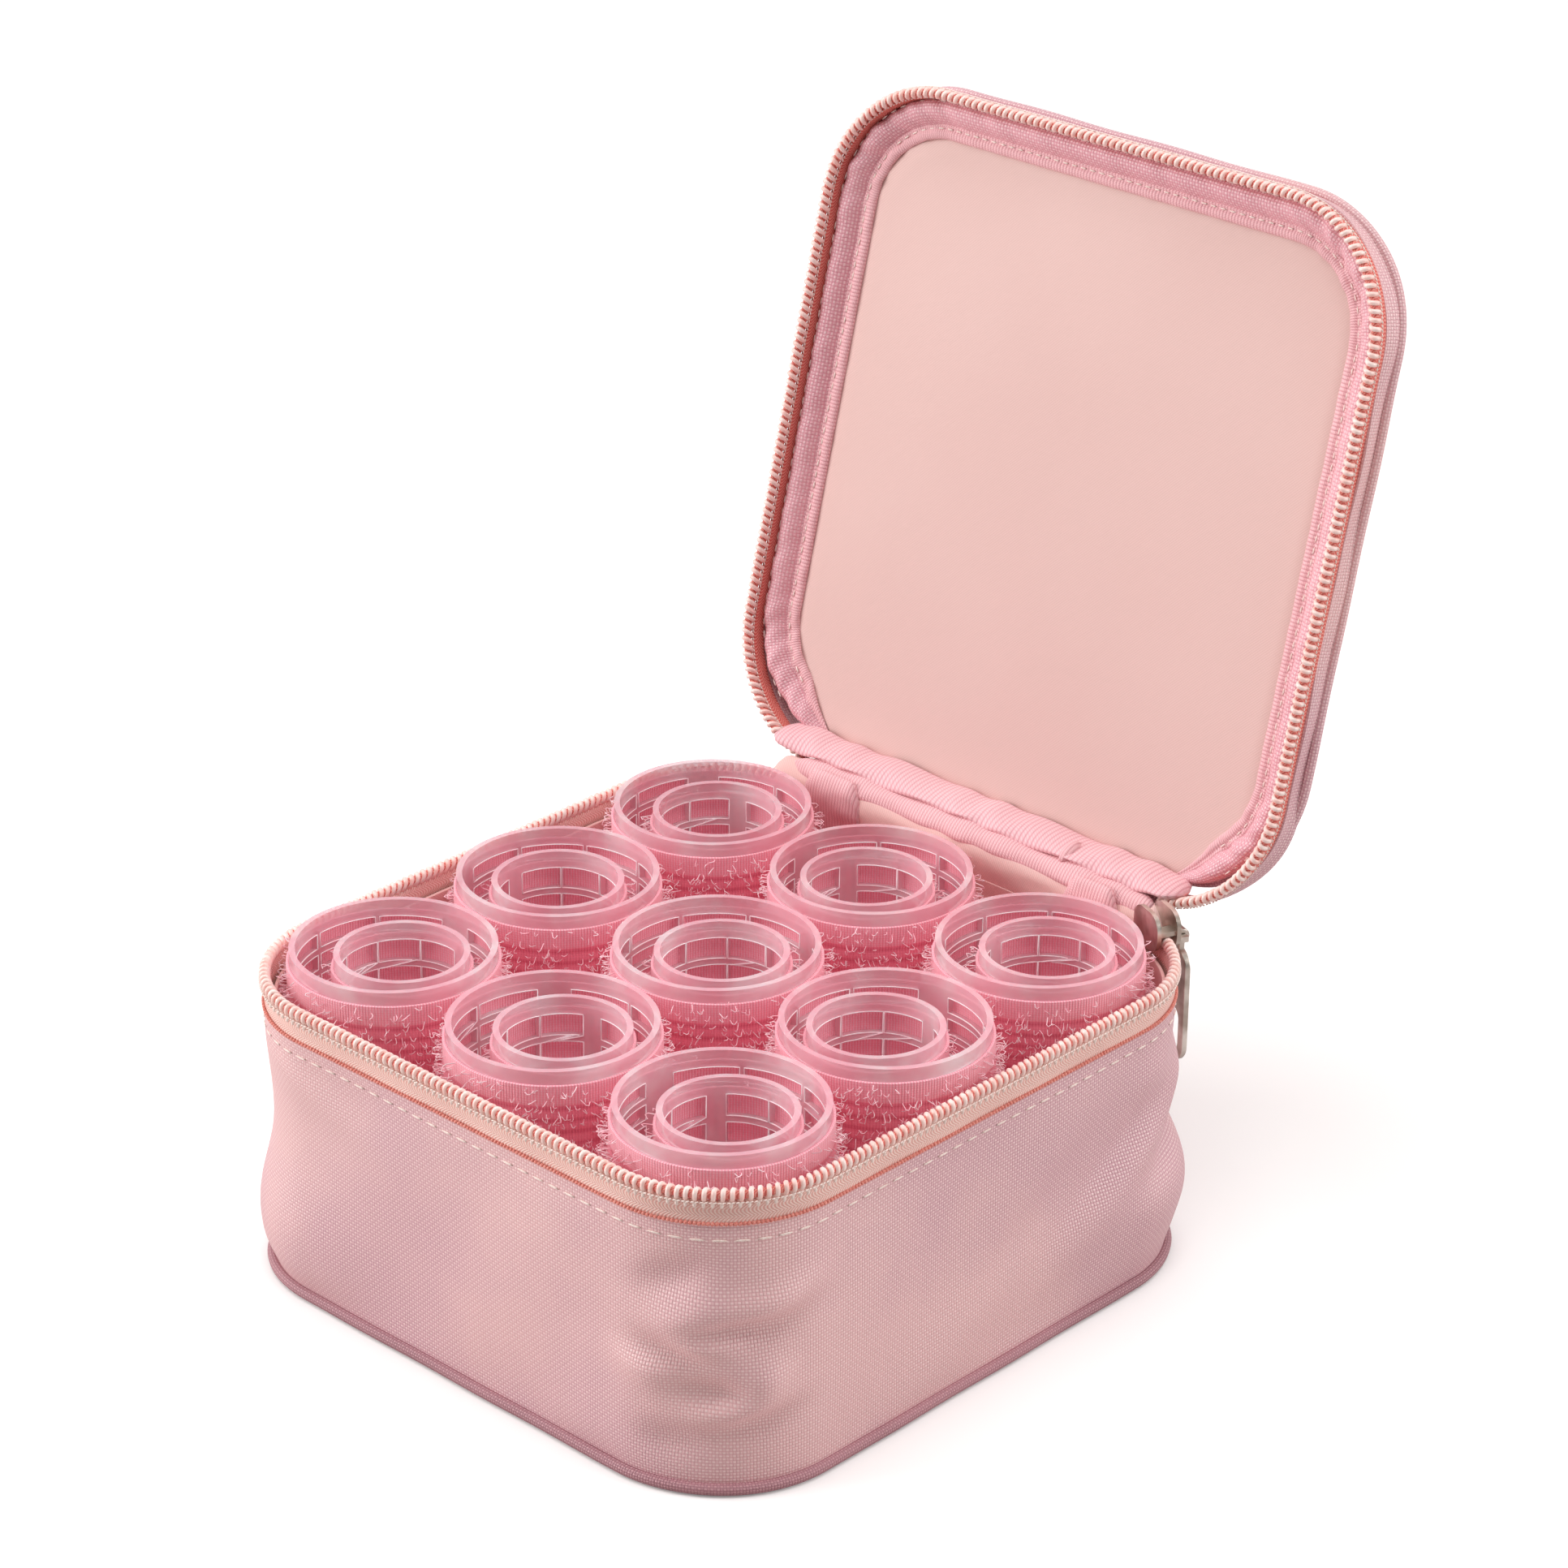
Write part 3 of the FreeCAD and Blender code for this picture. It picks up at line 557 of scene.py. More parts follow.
# Near-white plastic with its own emission: a painted glint for the beads along the windows.
lip_glint_paint = plain_finish("painted_glint_plastic", "ffdfe6", "ffffff", 0.1, 300.0, 0.00002,
                           Emission_Color=dye("ffe4ea"), Emission_Strength=0.14)
knit = knit_finish()
foam = plain_finish("foam", "e9dcd0", "f6ece2", 0.9, 900.0, 0.0002)
board = plain_finish("stiffener_board", "b6ab9e", "cbc0b2", 0.8, 500.0, 0.0001)
print("finishes", len(bpy.data.materials))

# %% [markdown]
# The wall cloth is held by the piping below and the zip above, and creases between them.
# Each crease is a soft ridge or hollow with a place on the wall, a length, a height and a tilt.
# They could be sculpted by hand or found by a cloth simulation, but a list of creases puts each one
# where it belongs. Cloth, foam and lining all use the same list, so the layers stay together, and no
# dent is deep enough to reach the rollers.

# %% Creases of the wall
CREASES = [
    # from the corner, height, half length, half height, depth, tilt
    ("front", -9.5, 44.5, 6.0, 2.3, -1.3, 0.35),
    ("front", -2.0, 39.5, 5.0, 2.4, 0.7, 0.2),
    ("front", 4.0, 34.0, 10.0, 2.0, -1.6, 0.12),
    ("front", -10.0, 28.5, 6.5, 2.0, -1.4, -0.1),
    ("front", 2.0, 27.0, 6.0, 2.6, 0.6, 0.1),
    ("front", -4.0, 21.5, 9.0, 2.2, -1.5, -0.18),
    ("front", 6.0, 14.5, 7.0, 2.0, -1.2, 0.15),
    ("front", -9.0, 10.5, 6.0, 2.2, -1.0, 0.0),
    ("front", 7.0, 23.0, 5.0, 3.0, 1.5, 0.2),
    ("front", 8.0, 39.0, 8.0, 2.6, 1.4, 0.25),
    ("front", -12.0, 24.0, 7.0, 2.6, 1.3, -0.1),
    ("front", 3.0, 17.5, 8.0, 2.2, 1.5, 0.15),
    ("front", -3.0, 31.0, 7.0, 1.8, 1.3, 0.15),
    ("front", -7.0, 35.0, 6.0, 3.0, 1.1, 0.1),
    ("left", 0.0, 12.0, 26.0, 9.0, 1.7, 0.0),
    ("left", 6.0, 34.0, 16.0, 9.0, -0.9, 0.25),
    ("left", 22.0, 46.0, 14.0, 3.0, 0.5, -0.3),
    ("right", -2.0, 17.0, 22.0, 7.0, 2.0, 0.0),
    ("right", -4.0, 29.5, 15.0, 3.2, -1.9, 0.3),
    ("right", -22.0, 36.0, 22.0, 3.4, -0.9, 0.55),
    ("right", -28.0, 24.0, 20.0, 4.5, 0.8, 0.5),
    ("right", -46.0, 30.0, 22.0, 4.0, -0.6, 0.6),
    ("right", -8.0, 42.0, 13.0, 4.0, 0.8, -0.2),
    ("right", -62.0, 18.0, 20.0, 5.0, 0.5, 0.45),
]
CREASE_DEPTH, CREASE_WIDTH = 1.7, 1.35
DEEPEST_DENT = 1.8


def wall_relief(distance, height, _out=None):
    """How far the wall stands out of its straight shape, in millimetres."""
    shift = 0.22 * np.sin(distance / 11.0 + height / 17.0) + 0.18 * np.sin(distance / 6.3 - height / 9.0)
    shift = shift + 0.25 * np.sin(distance / 23.0 + 1.3)
    for corner, offset, level, length, tall, depth, tilt in CREASES:
        along = distance - CORNER_AT[corner] - offset
        across = height - level - tilt * along
        bell = np.exp(-((along / length) ** 2) - (across / (CREASE_WIDTH * tall)) ** 2)
        shift = shift + CREASE_DEPTH * depth * bell
    shift = np.where(shift < 0, -DEEPEST_DENT * np.tanh(-shift / DEEPEST_DENT), shift)
    held = np.clip((height - WALL_LOW - 1.5) / 6.0, 0, 1) * np.clip((WALL_TOP - 1.0 - height) / 7.0, 0, 1)
    return shift * held * (2 - held)


CLOTH, FOAM, LINING = 0.9, 1.0, 0.7
LAYERS = CLOTH + FOAM + LINING
wall = band("case_wall_cloth", tub_path, upright(0, -CLOTH, WALL_LOW, WALL_TOP, 0.3, 46), on_case,
            pink_cloth, wall_relief)
foam_path = outline(*TUB, step=3.0)
wall_pad = band("case_wall_foam", foam_path,
                upright(-CLOTH - 0.1, -CLOTH - FOAM + 0.1, WALL_LOW + 1, WALL_TOP - 1, 0.2, 24),
                on_case, foam, wall_relief)
lining_top = box_mm("tub_lining")[1][2]
lining_out = -CLOTH - FOAM
lining = band("case_wall_lining", tub_path,
              upright(lining_out, lining_out - LINING, FLOOR_TOP, lining_top, 0.2, 34),
              on_case, tub_lining_lightened, wall_relief)
print("wall faces", len(wall.data.polygons))

# %% [markdown]
# The base is a cloth panel over a board, edged with piping: a thin cord rolled in cloth.
# The floor lining lies on the board. Both cloths are held flat by the board, so a plain panel is enough,
# and the cord is a round section carried along the lower edge, a little uneven as a sewn cord is.

# %% Base, floor lining and piping


def panel_profile(low, high, edge=0.99):
    """From the middle of the upper face, over the edge, to the middle of the lower face."""
    steps = [0.0, 0.12, 0.24, 0.36, 0.48, 0.6, 0.7, 0.8, 0.88, 0.94, edge]
    return [(s, high) for s in steps] + [(1.0, (low + high) / 2)] + [(s, low) for s in steps[::-1]]


base_low, base_high = box_mm("base_panel")[0][2], box_mm("base_panel")[1][2]
base_path = outline(HALF_X - 0.3, HALF_Y - 0.3, CORNER - 0.3, 3.0)
base_cloth = panel("case_base_cloth", base_path, panel_profile(base_low + 0.05, base_high), on_case,
                   pink_cloth)
floor_path = outline(HALF_X - LAYERS, HALF_Y - LAYERS, CORNER - LAYERS, 3.0)
floor_cloth = panel("case_floor_lining", floor_path, panel_profile(FLOOR_TOP - 0.6, FLOOR_TOP - 0.1),
                    on_case, tub_lining_lightened)
base_piping = band("case_base_piping", tub_path, tube((0.35, 1.3), 1.15, 14), on_case, piping_cloth,
                   lambda s, up, out: 0.08 * np.sin(s / 5.0))
print("piping", round(tub_path["total"]), "mm long")

# %% [markdown]
# The zip tape stands on the wall's top edge and leans in a little towards the coil.
# It is open along the back, where the cloth hinge runs through.
# A flat ribbon would have no edge to catch the light, so it is a band with a thin folded section.

# %% Zip tapes
TAPE_LOW = box_mm("tub_zip_tape")[0][2]
TAPE_GAP = 47.0
tape_path = outline(*TUB, 1.5, TAPE_GAP)
tape_section = [(-0.35, TAPE_LOW - 2.6), (-0.1, TAPE_LOW - 0.6), (0.0, TAPE_LOW + 0.6),
                (-0.5, TAPE_LOW + 2.4), (-0.25, TAPE_TOP), (-1.0, TAPE_TOP), (-1.3, TAPE_LOW + 2.4),
                (-1.1, TAPE_LOW), (-1.1, TAPE_LOW - 2.6)]
case_tape = band("case_zip_tape", tape_path, rounded(tape_section), on_case, zip_tape,
                 lambda s, up, out: 0.12 * np.sin(s / 4.1) * (up > TAPE_LOW))
lid_path, lid_swing = lid_outline(LID_REAR, 1.5, back_gap=TAPE_GAP)
lid_tape_section = [(-0.9, 2.6), (-0.35, 3.1), (-0.2, 5.6), (-0.9, 5.9), (-1.5, 5.7), (-1.4, 3.2)]
lid_tape = band("lid_zip_tape_cloth", lid_path, rounded(lid_tape_section), lid_swing, coral_tape)
print("tape round the case", round(case_tape.dimensions.x / MM))

# %% [markdown]
# A coil zip and its stitches repeat hundreds of times along a path, which is work for Geometry Nodes.
# A few helpers come first: one makes a tree with named inputs, one adds a node, and one runs a tree on
# a carrier object and keeps the result as a plain mesh. The carrier is a line of points that remembers
# which way is outwards and which way is up, so a tree can shape things across the path.

# %% Geometry Nodes helpers


def node_tree(name, sockets):
    """An empty tree with a geometry input and output and the named inputs."""
    tree = bpy.data.node_groups.new(name, "GeometryNodeTree")
    tree.interface.new_socket("Geometry", in_out="INPUT", socket_type="NodeSocketGeometry")
    tree.interface.new_socket("Geometry", in_out="OUTPUT", socket_type="NodeSocketGeometry")
    for label, kind in sockets.items():
        tree.interface.new_socket(label, in_out="INPUT", socket_type=f"NodeSocket{kind}")
    return tree, tree.nodes.new("NodeGroupInput"), tree.nodes.new("NodeGroupOutput")


def grow(tree, kind, settings=None, inputs=None):
    """One node of a Geometry Nodes tree, with its settings and its input values or links."""
    made = tree.nodes.new(kind)
    for key, value in (settings or {}).items():
        setattr(made, key, value)
    for key, value in (inputs or {}).items():
        if isinstance(value, bpy.types.NodeSocket):
            tree.links.new(value, made.inputs[key])
        else:
            made.inputs[key].default_value = value
    return made


def counted(tree, operation, *values):
    """A Math node's result inside a Geometry Nodes tree."""
    settings = {"operation": operation}
    return grow(tree, "ShaderNodeMath", settings, dict(enumerate(values))).outputs[0]


def scaled(tree, vector, amount):
    """A vector field made longer or shorter."""
    made = grow(tree, "ShaderNodeVectorMath", {"operation": "SCALE"}, {0: vector, "Scale": amount})
    return made.outputs[0]


def stored(tree, name):
    """A vector kept on the points of the path."""
    return grow(tree, "GeometryNodeInputNamedAttribute", {"data_type": "FLOAT_VECTOR"},
                {"Name": name}).outputs[0]


def combined(tree, operation, first, second):
    """A Vector Math node's result inside a Geometry Nodes tree."""
    return grow(tree, "ShaderNodeVectorMath", {"operation": operation}, {0: first, 1: second}).outputs[0]


def end_tree(tree, result, geometry, material, smooth=False):
    """Turn instances into real faces, give them their material and hand them out."""
    real = grow(tree, "GeometryNodeRealizeInstances", None, {"Geometry": geometry})
    if smooth:
        real = grow(tree, "GeometryNodeSetShadeSmooth", None, {0: real.outputs[0]})
    dyed = grow(tree, "GeometryNodeSetMaterial", None, {"Geometry": real.outputs[0], "Material": material})
    tree.links.new(dyed.outputs[0], result.inputs[0])


def applied(piece):
    """The piece as its modifiers leave it, as a plain mesh."""
    bpy.context.view_layer.update()
    depsgraph = bpy.context.evaluated_depsgraph_get()
    return bpy.data.meshes.new_from_object(piece.evaluated_get(depsgraph))


def made_by(tree, carrier, values, name):
    """Run a tree on a carrier object with the given inputs and keep the result as a plain mesh."""
    modifier = carrier.modifiers.new("grown", "NODES")
    modifier.node_group = tree
    identifiers = {item.name: item.identifier for item in tree.interface.items_tree
                   if item.in_out == "INPUT" and item.socket_type != "NodeSocketGeometry"}
    for label, value in values.items():
        modifier[identifiers[label]] = value
    mesh = applied(carrier)
    mesh.name = name
    bpy.data.objects.remove(carrier)
    return shown(name, mesh)


def path_object(path, offset, place, shift=None):
    """A line of mesh edges along an outline that remembers its outward and upward directions."""
    out, up = offset
    points = np.zeros((len(path["points"]), 3))
    points[:, :2] = path["points"] + path["outward"] * out
    points[:, 2] = up
    if shift is not None:
        points[:, :2] += path["outward"] * shift(path["distances"], up)[:, None]
    ahead = points + np.column_stack([path["outward"], np.zeros(len(points))])
    above = points + np.array((0, 0, 1.0))
    points, ahead, above = place(points), place(ahead), place(above)
    count = len(points)
    edges = [(n, (n + 1) % count) for n in range(count if path["closed"] else count - 1)]
    mesh = bpy.data.meshes.new("path")
    mesh.from_pydata((points * MM).tolist(), edges, [])
    for name, direction in (("outward", ahead - points), ("upward", above - points)):
        layer = mesh.attributes.new(name, "FLOAT_VECTOR", "POINT")
        layer.data.foreach_set("vector", direction.astype(np.float32).ravel())
    return shown("path", mesh)


# %% [markdown]
# A coil zip is one nylon thread wound into a spring and sewn to the tape, with a cord through it.
# The path is cut into short steps, and each step is moved round a small ellipse across the path.
# A plain spring would show slanting turns. Each turn is also slipped back along the path on its outer
# side, so that the turns stand square there, as the teeth of a real coil do.

# %% The coil tree and the two halves of the zip
SQUARENESS = 0.95
STEPS_PER_TURN = 12.0


def build_coil_tree():
    """Wind a thread round a path."""
    tree, given, result = node_tree("zip coil", {"Pitch": "Float", "Width": "Float", "Height": "Float",
                                                 "Thread": "Float", "Material": "Material"})
    line = grow(tree, "GeometryNodeMeshToCurve", None, {"Mesh": given.outputs["Geometry"]})
    step = counted(tree, "DIVIDE", given.outputs["Pitch"], STEPS_PER_TURN)
    fine = grow(tree, "GeometryNodeResampleCurve", {"mode": "LENGTH"},
                {"Curve": line.outputs[0], "Length": step})
    walked = grow(tree, "GeometryNodeSplineParameter").outputs["Length"]
    turn = counted(tree, "MULTIPLY", counted(tree, "DIVIDE", walked, given.outputs["Pitch"]), 2 * math.pi)
    out = scaled(tree, stored(tree, "outward"),
                 counted(tree, "MULTIPLY", counted(tree, "COSINE", turn), given.outputs["Width"]))
    up = scaled(tree, stored(tree, "upward"),
                counted(tree, "MULTIPLY", counted(tree, "SINE", turn), given.outputs["Height"]))
    slip = counted(tree, "MULTIPLY", counted(tree, "SINE", turn), given.outputs["Pitch"])
    ahead = scaled(tree, grow(tree, "GeometryNodeInputTangent").outputs[0],
                   counted(tree, "MULTIPLY", slip, -SQUARENESS / (2 * math.pi)))
    offset = combined(tree, "ADD", combined(tree, "ADD", out, up), ahead)
    wound = grow(tree, "GeometryNodeSetPosition", None, {"Geometry": fine.outputs[0], "Offset": offset})
    ring = grow(tree, "GeometryNodeCurvePrimitiveCircle", {"mode": "RADIUS"},
                {"Resolution": 6, "Radius": given.outputs["Thread"]})
    swept = grow(tree, "GeometryNodeCurveToMesh", None,
                 {"Curve": wound.outputs[0], "Profile Curve": ring.outputs[0], "Fill Caps": True})
    end_tree(tree, result, swept.outputs[0], given.outputs["Material"])
    return tree


coil_tree = build_coil_tree()
COIL_SIZES = {"Pitch": 1.6 * MM, "Width": 0.7 * MM, "Height": 0.95 * MM, "Thread": 0.5 * MM,
              "Material": coil_nylon}
COIL_OUT, LID_COIL_UP, CORD_RADIUS = -0.3, 1.875, 0.75
coil_middle = (COIL_OUT, (box_mm("tub_zip_coil")[0][2] + RIM_TOP) / 2)
lid_coil_middle = (COIL_OUT, LID_COIL_UP)
case_coil = made_by(coil_tree, path_object(tape_path, coil_middle, on_case), COIL_SIZES, "case_zip_coil")
lid_coil = made_by(coil_tree, path_object(lid_path, lid_coil_middle, lid_swing), COIL_SIZES,
                   "lid_zip_coil_thread")
coil_core = band("case_zip_cord", tape_path, tube(coil_middle, CORD_RADIUS, 8), on_case, coral_tape)
lid_coil_core = band("lid_zip_cord", lid_path, tube(lid_coil_middle, CORD_RADIUS, 8), lid_swing, coral_tape)
print("coil triangles", 2 * len(case_coil.data.polygons))

# %% [markdown]
# Stitches are short rounded dashes of thread, sunk a little in the cloth. A drawn line would do from
# afar, but a dash of real thickness catches the light. One tree puts a dash at every step along a path
# and turns it to follow the path, or to lean across it, as the feet of the coil and the coral selvage do.

# %% The stitch tree and every seam


def build_stitch_tree():
    """Place one dash of thread at each step along a path."""
    tree, given, result = node_tree("stitch run", {"Step": "Float", "Length": "Float", "Thickness": "Float",
                                                   "Slant": "Float", "Material": "Material"})
    line = grow(tree, "GeometryNodeMeshToCurve", None, {"Mesh": given.outputs["Geometry"]})
    steps = grow(tree, "GeometryNodeResampleCurve", {"mode": "LENGTH"},
                 {"Curve": line.outputs[0], "Length": given.outputs["Step"]})
    half_length = counted(tree, "MULTIPLY", given.outputs["Length"], 0.5)
    half_width = counted(tree, "MULTIPLY", given.outputs["Thickness"], 0.5)
    ball = grow(tree, "GeometryNodeMeshUVSphere", None, {"Segments": 6, "Rings": 4, "Radius": 1.0})
    size = grow(tree, "ShaderNodeCombineXYZ", None, {0: half_length, 1: half_width, 2: half_width})
    dash = grow(tree, "GeometryNodeTransform", None,
                {"Geometry": ball.outputs[0], "Scale": size.outputs[0]})
    tangent = grow(tree, "GeometryNodeInputTangent").outputs[0]
    leaning = scaled(tree, stored(tree, "upward"), given.outputs["Slant"])
    heading = combined(tree, "ADD", tangent, leaning)
    turned = grow(tree, "FunctionNodeAlignRotationToVector", {"axis": "X"}, {"Vector": heading})
    placed = grow(tree, "GeometryNodeInstanceOnPoints", None,
                  {"Points": steps.outputs[0], "Instance": dash.outputs[0], "Rotation": turned.outputs[0]})
    end_tree(tree, result, placed.outputs[0], given.outputs["Material"], smooth=True)
    return tree


stitch_tree = build_stitch_tree()


def seam(name, path, offset, place, step, length, thickness, slant=0.0, shift=None, thread=sewing_thread):
    """One run of stitches, its sizes in millimetres."""
    sizes = {"Step": step * MM, "Length": length * MM, "Thickness": thickness * MM, "Slant": slant,
             "Material": thread}
    return made_by(stitch_tree, path_object(path, offset, place, shift), sizes, name)


wall_seam = seam("case_top_stitching", tub_path, (0.08, WALL_TOP - 3.2), on_case, 4.0, 3.0, 0.42,
                 shift=wall_relief)
coil_seam = seam("case_coil_stitching", tape_path, (0.82, TAPE_TOP + 0.1), on_case, 0.8, 0.78, 0.3, 0.3)
coil_feet = seam("case_coil_feet", tape_path, (0.3, TAPE_TOP - 0.6), on_case, 1.6, 1.5, 0.75, 12.0)
case_selvage = seam("case_tape_selvage", tape_path, (0.2, TAPE_LOW + 0.1), on_case, 0.8, 0.95, 0.75, 0.5,
                    thread=coral_thread)
lid_coil_seam = seam("lid_coil_stitching", lid_path, (0.85, 2.5), lid_swing, 0.8, 0.78, 0.3, 0.3)
lid_inner_seam = seam("lid_inner_coil_stitching", lid_path, (-1.35, 2.5), lid_swing, 0.8, 0.78, 0.3, -0.3)
print("stitches of the wall", len(wall_seam.data.polygons) // 24)

# %% [markdown]
# The lid's top is cloth over a stiff board with a thin wadding, so it crowns slightly.
# A formula could crown it, but a cloth simulation finds the fall towards the corners by itself:
# a thin slab is remeshed, pressure swells it, and the swelling is capped so that it stays within
# what the stitching would allow.

# %% The lid's padded top
SWELL_CAP, VOXEL = 2.4, 2.4
COVER_LOW, COVER_FLOOR, COVER_TOP = 8.3, 8.25, 10.1
SWELL_FRAMES = 20
cover_path, cover_swing = lid_outline(LID_RIGID_FROM, 3.0, inset=0.3)


def swollen(piece):
    """Swell a flat slab lying in the closed lid's plane, and cap how far each point moves."""
    remesh = piece.modifiers.new("even mesh", "REMESH")
    remesh.mode, remesh.voxel_size = "VOXEL", VOXEL * MM
    even = applied(piece)
    piece.modifiers.clear()
    piece.data = even
    before = np.zeros(len(even.vertices) * 3)
    even.vertices.foreach_get("co", before)
    cloth = piece.modifiers.new("swell", "CLOTH")
    cloth.settings.use_pressure = True
    cloth.settings.uniform_pressure_force = 4.0
    cloth.settings.effector_weights.gravity = 0.0
    cloth.settings.quality = 4
    cloth.settings.tension_stiffness = cloth.settings.compression_stiffness = 12.0
    rim = piece.vertex_groups.new(name="sewn")
    flat = before.reshape(-1, 3) / MM
    reach = np.maximum(np.abs(flat[:, 0]) / LID_HALF_X, np.abs(flat[:, 1]) / (LID_FRONT / 2 - 2.5))
    rim.add([int(n) for n in np.nonzero(reach > 0.955)[0]], 1.0, "REPLACE")
    cloth.settings.vertex_group_mass = "sewn"
    cloth.point_cache.frame_start, cloth.point_cache.frame_end = 1, SWELL_FRAMES
    for number in range(1, SWELL_FRAMES + 1):
        bpy.context.scene.frame_set(number)
    swelled = piece.evaluated_get(bpy.context.evaluated_depsgraph_get())
    after = np.zeros_like(before)
    swelled.data.vertices.foreach_get("co", after)
    piece.modifiers.clear()
    piece.vertex_groups.clear()
    bpy.context.scene.frame_set(1)
    move = (after - before).reshape(-1, 3) / MM
    length = np.linalg.norm(move, axis=1, keepdims=True)
    move *= np.minimum(1.0, SWELL_CAP / np.maximum(length, 1e-9))
    moved = flat + move
    moved[:, 2] = np.maximum(moved[:, 2], COVER_FLOOR)
    print(piece.name, "swelled by", round(float(length.max()), 2), "mm before the cap")
    return moved


slab = panel("lid_top_cover", cover_path, panel_profile(COVER_LOW, COVER_TOP, 0.985), on_case, None)
moved = swollen(slab)
slab.data.materials.append(pink_cloth)
puckers = 0.18 * np.sin(moved[:, 0] / 7.0 + 0.4 * np.sin(moved[:, 1] / 9.0)) * np.cos(moved[:, 1] / 13.0)
moved[:, 2] += puckers * (moved[:, 2] > 9.2)
flat_places = moved[:, :2].copy()
swung = cover_swing(moved) * MM
slab.data.vertices.foreach_set("co", swung.ravel())
layer = slab.data.uv_layers.get("thread") or slab.data.uv_layers.new(name="thread")
corners = np.zeros(len(slab.data.loops), int)
slab.data.loops.foreach_get("vertex_index", corners)
layer.data.foreach_set("uv", flat_places[corners].astype(np.float32).ravel())
slab.data.polygons.foreach_set("use_smooth", [True] * len(slab.data.polygons))
slab.data.update()
finer = slab.modifiers.new("finer", "SUBSURF")
finer.levels = finer.render_levels = 1

# %% [markdown]
# Between the coil and the padded top runs a narrow band of the same cloth, piped along its outer edge.
# On the real case the piping is a cord rolled in cloth and caught in the seam. Both follow the lid's
# outline, so they are bands like those of the case, with small waves where the thread pulls them in.

# %% The lid's side band and piping
SIDE_GAP = 45.5
band_path, _ = lid_outline(LID_REAR, 1.5, back_gap=SIDE_GAP)
side_band = band("lid_side_cloth", band_path, upright(-0.05, -0.9, 5.3, 9.9, 0.25, 8), lid_swing,
                 pink_cloth, lambda s, up, out: 0.25 * np.sin(s / 9.0 + up) + 0.15 * np.sin(s / 4.0))
lid_edge_path, edge_swing = lid_outline(LID_RIGID_FROM, 1.5)
lid_piping = band("lid_edge_piping", lid_edge_path, tube((0.1, 9.7), 0.95, 14), edge_swing, pink_cloth,
                  lambda s, up, out: (0.1 * np.sin(s / 5.0), 0.08 * np.sin(s / 7.0)))
print("side band faces", len(side_band.data.polygons))

# %% [markdown]
# Inside the lid, a puffy folded binding covers the raw seam, and a narrower ribbed tape is sewn along it.
# They run round three sides and thin out under the hinge's own binding. Folded tape is never even:
# it puckers most where it turns a corner, so its bumps grow there.

# %% Binding and tape inside the lid
BINDING_REAR = 3.4
BINDING_GAP, BINDING_TAPER = 46.0, 16.0
frame_path, frame_swing = lid_outline(BINDING_REAR, 1.2, back_gap=BINDING_GAP)
frame_seam_path, _ = lid_outline(BINDING_REAR, 1.2, back_gap=BINDING_GAP + BINDING_TAPER)


def corner_share(distance, total):
    """1 in the middle of a rounded corner and 0 along the straight sides."""
    share = 0.0
    for place in (CORNER_AT["left"], CORNER_AT["front"], CORNER_AT["right"], total - CORNER_AT["right"]):
        share = share + np.exp(-(((distance - place) / 18.0) ** 2))
    return np.clip(share, 0, 1)


def binding_relief(size):
    """Puckers across a folded tape, larger at the corners, and its thinning towards its two ends."""

    def relief(distance, up, out):
        pucker = 0.35 + corner_share(distance, frame_path["total"])
        wave = np.sin(distance / 1.9 + 1.5 * np.sin(distance / 7.0)) + 0.6 * np.sin(distance / 0.9 + out)
        from_end = np.minimum(distance, frame_path["total"] - distance) - BINDING_GAP
        thin = 0.85 * (1 - np.clip(from_end / BINDING_TAPER, 0, 1)) ** 1.5
        return thin * (-1.6 - out), thin * (7.0 - up) + (1 - thin) * size * pucker * wave

    return relief


roll_section = [(-1.2, 5.6), (-2.0, 4.4), (-3.2, 3.8), (-4.6, 4.2), (-5.8, 5.4), (-6.5, 6.6),
                (-6.9, 7.2), (-6.2, 7.7), (-3.5, 7.7), (-1.3, 7.6)]
tape_fold = [(-6.0, 6.9), (-6.7, 6.3), (-7.3, 6.7), (-8.0, 6.2), (-9.0, 6.4), (-9.5, 7.0),
             (-9.2, 7.6), (-7.8, 7.6), (-6.2, 7.6)]
lid_roll = band("lid_binding_roll", frame_path, rounded(roll_section), frame_swing, binding_cloth,
                binding_relief(0.34))
lid_rib = band("lid_ribbed_tape", frame_path, rounded(tape_fold), frame_swing, narrow_tape,
               binding_relief(0.16))
rib_seam = seam("lid_tape_stitching", frame_seam_path, (-7.25, 6.5), frame_swing, 2.3, 1.6, 0.34)
roll_seam = seam("lid_binding_stitching", frame_seam_path, (-1.75, 4.7), frame_swing, 2.6, 1.8, 0.3)
print("binding faces", len(lid_roll.data.polygons))

# %% [markdown]
# The lining of the lid is one piece of thin twill, stretched flat under the tape.
# A flat plate would look like card, and a simulation would hardly move cloth that is held all round.
# So it is a wide panel with a slow wave that fades out under the tape.

# %% The lid's lining
LINING_INSET, LINING_REAR = 8.4, 4.8


def slow_wave(size):
    """A gentle unevenness that fades out at a panel's sewn edge."""

    def relief(x, y, reach):
        wave = np.sin(x / 19.0 + 0.6) * np.cos(y / 23.0) + 0.5 * np.sin(x / 8.0 - y / 11.0)
        return size * wave * np.clip((1 - reach) * 6, 0, 1)

    return relief


lining_path, lining_swing = lid_outline(LINING_REAR - LINING_INSET, 3.0, inset=LINING_INSET)
lid_lining = panel("lid_lining_sheet", lining_path, panel_profile(7.3, 7.75, 0.995), lining_swing,
                   peach_lining, slow_wave(0.22))

# %% [markdown]
# The hinge is plain cloth: the back wall runs on, bends, and becomes the lid.
# The outline can't be used here, because the strips are straight and cross from one body to the other.
# Each strip is a soft cross-section carried along X. Its points follow the case at one end and the lid
# at the other.

# %% Hinge strips
END_ROUNDING = 3.0


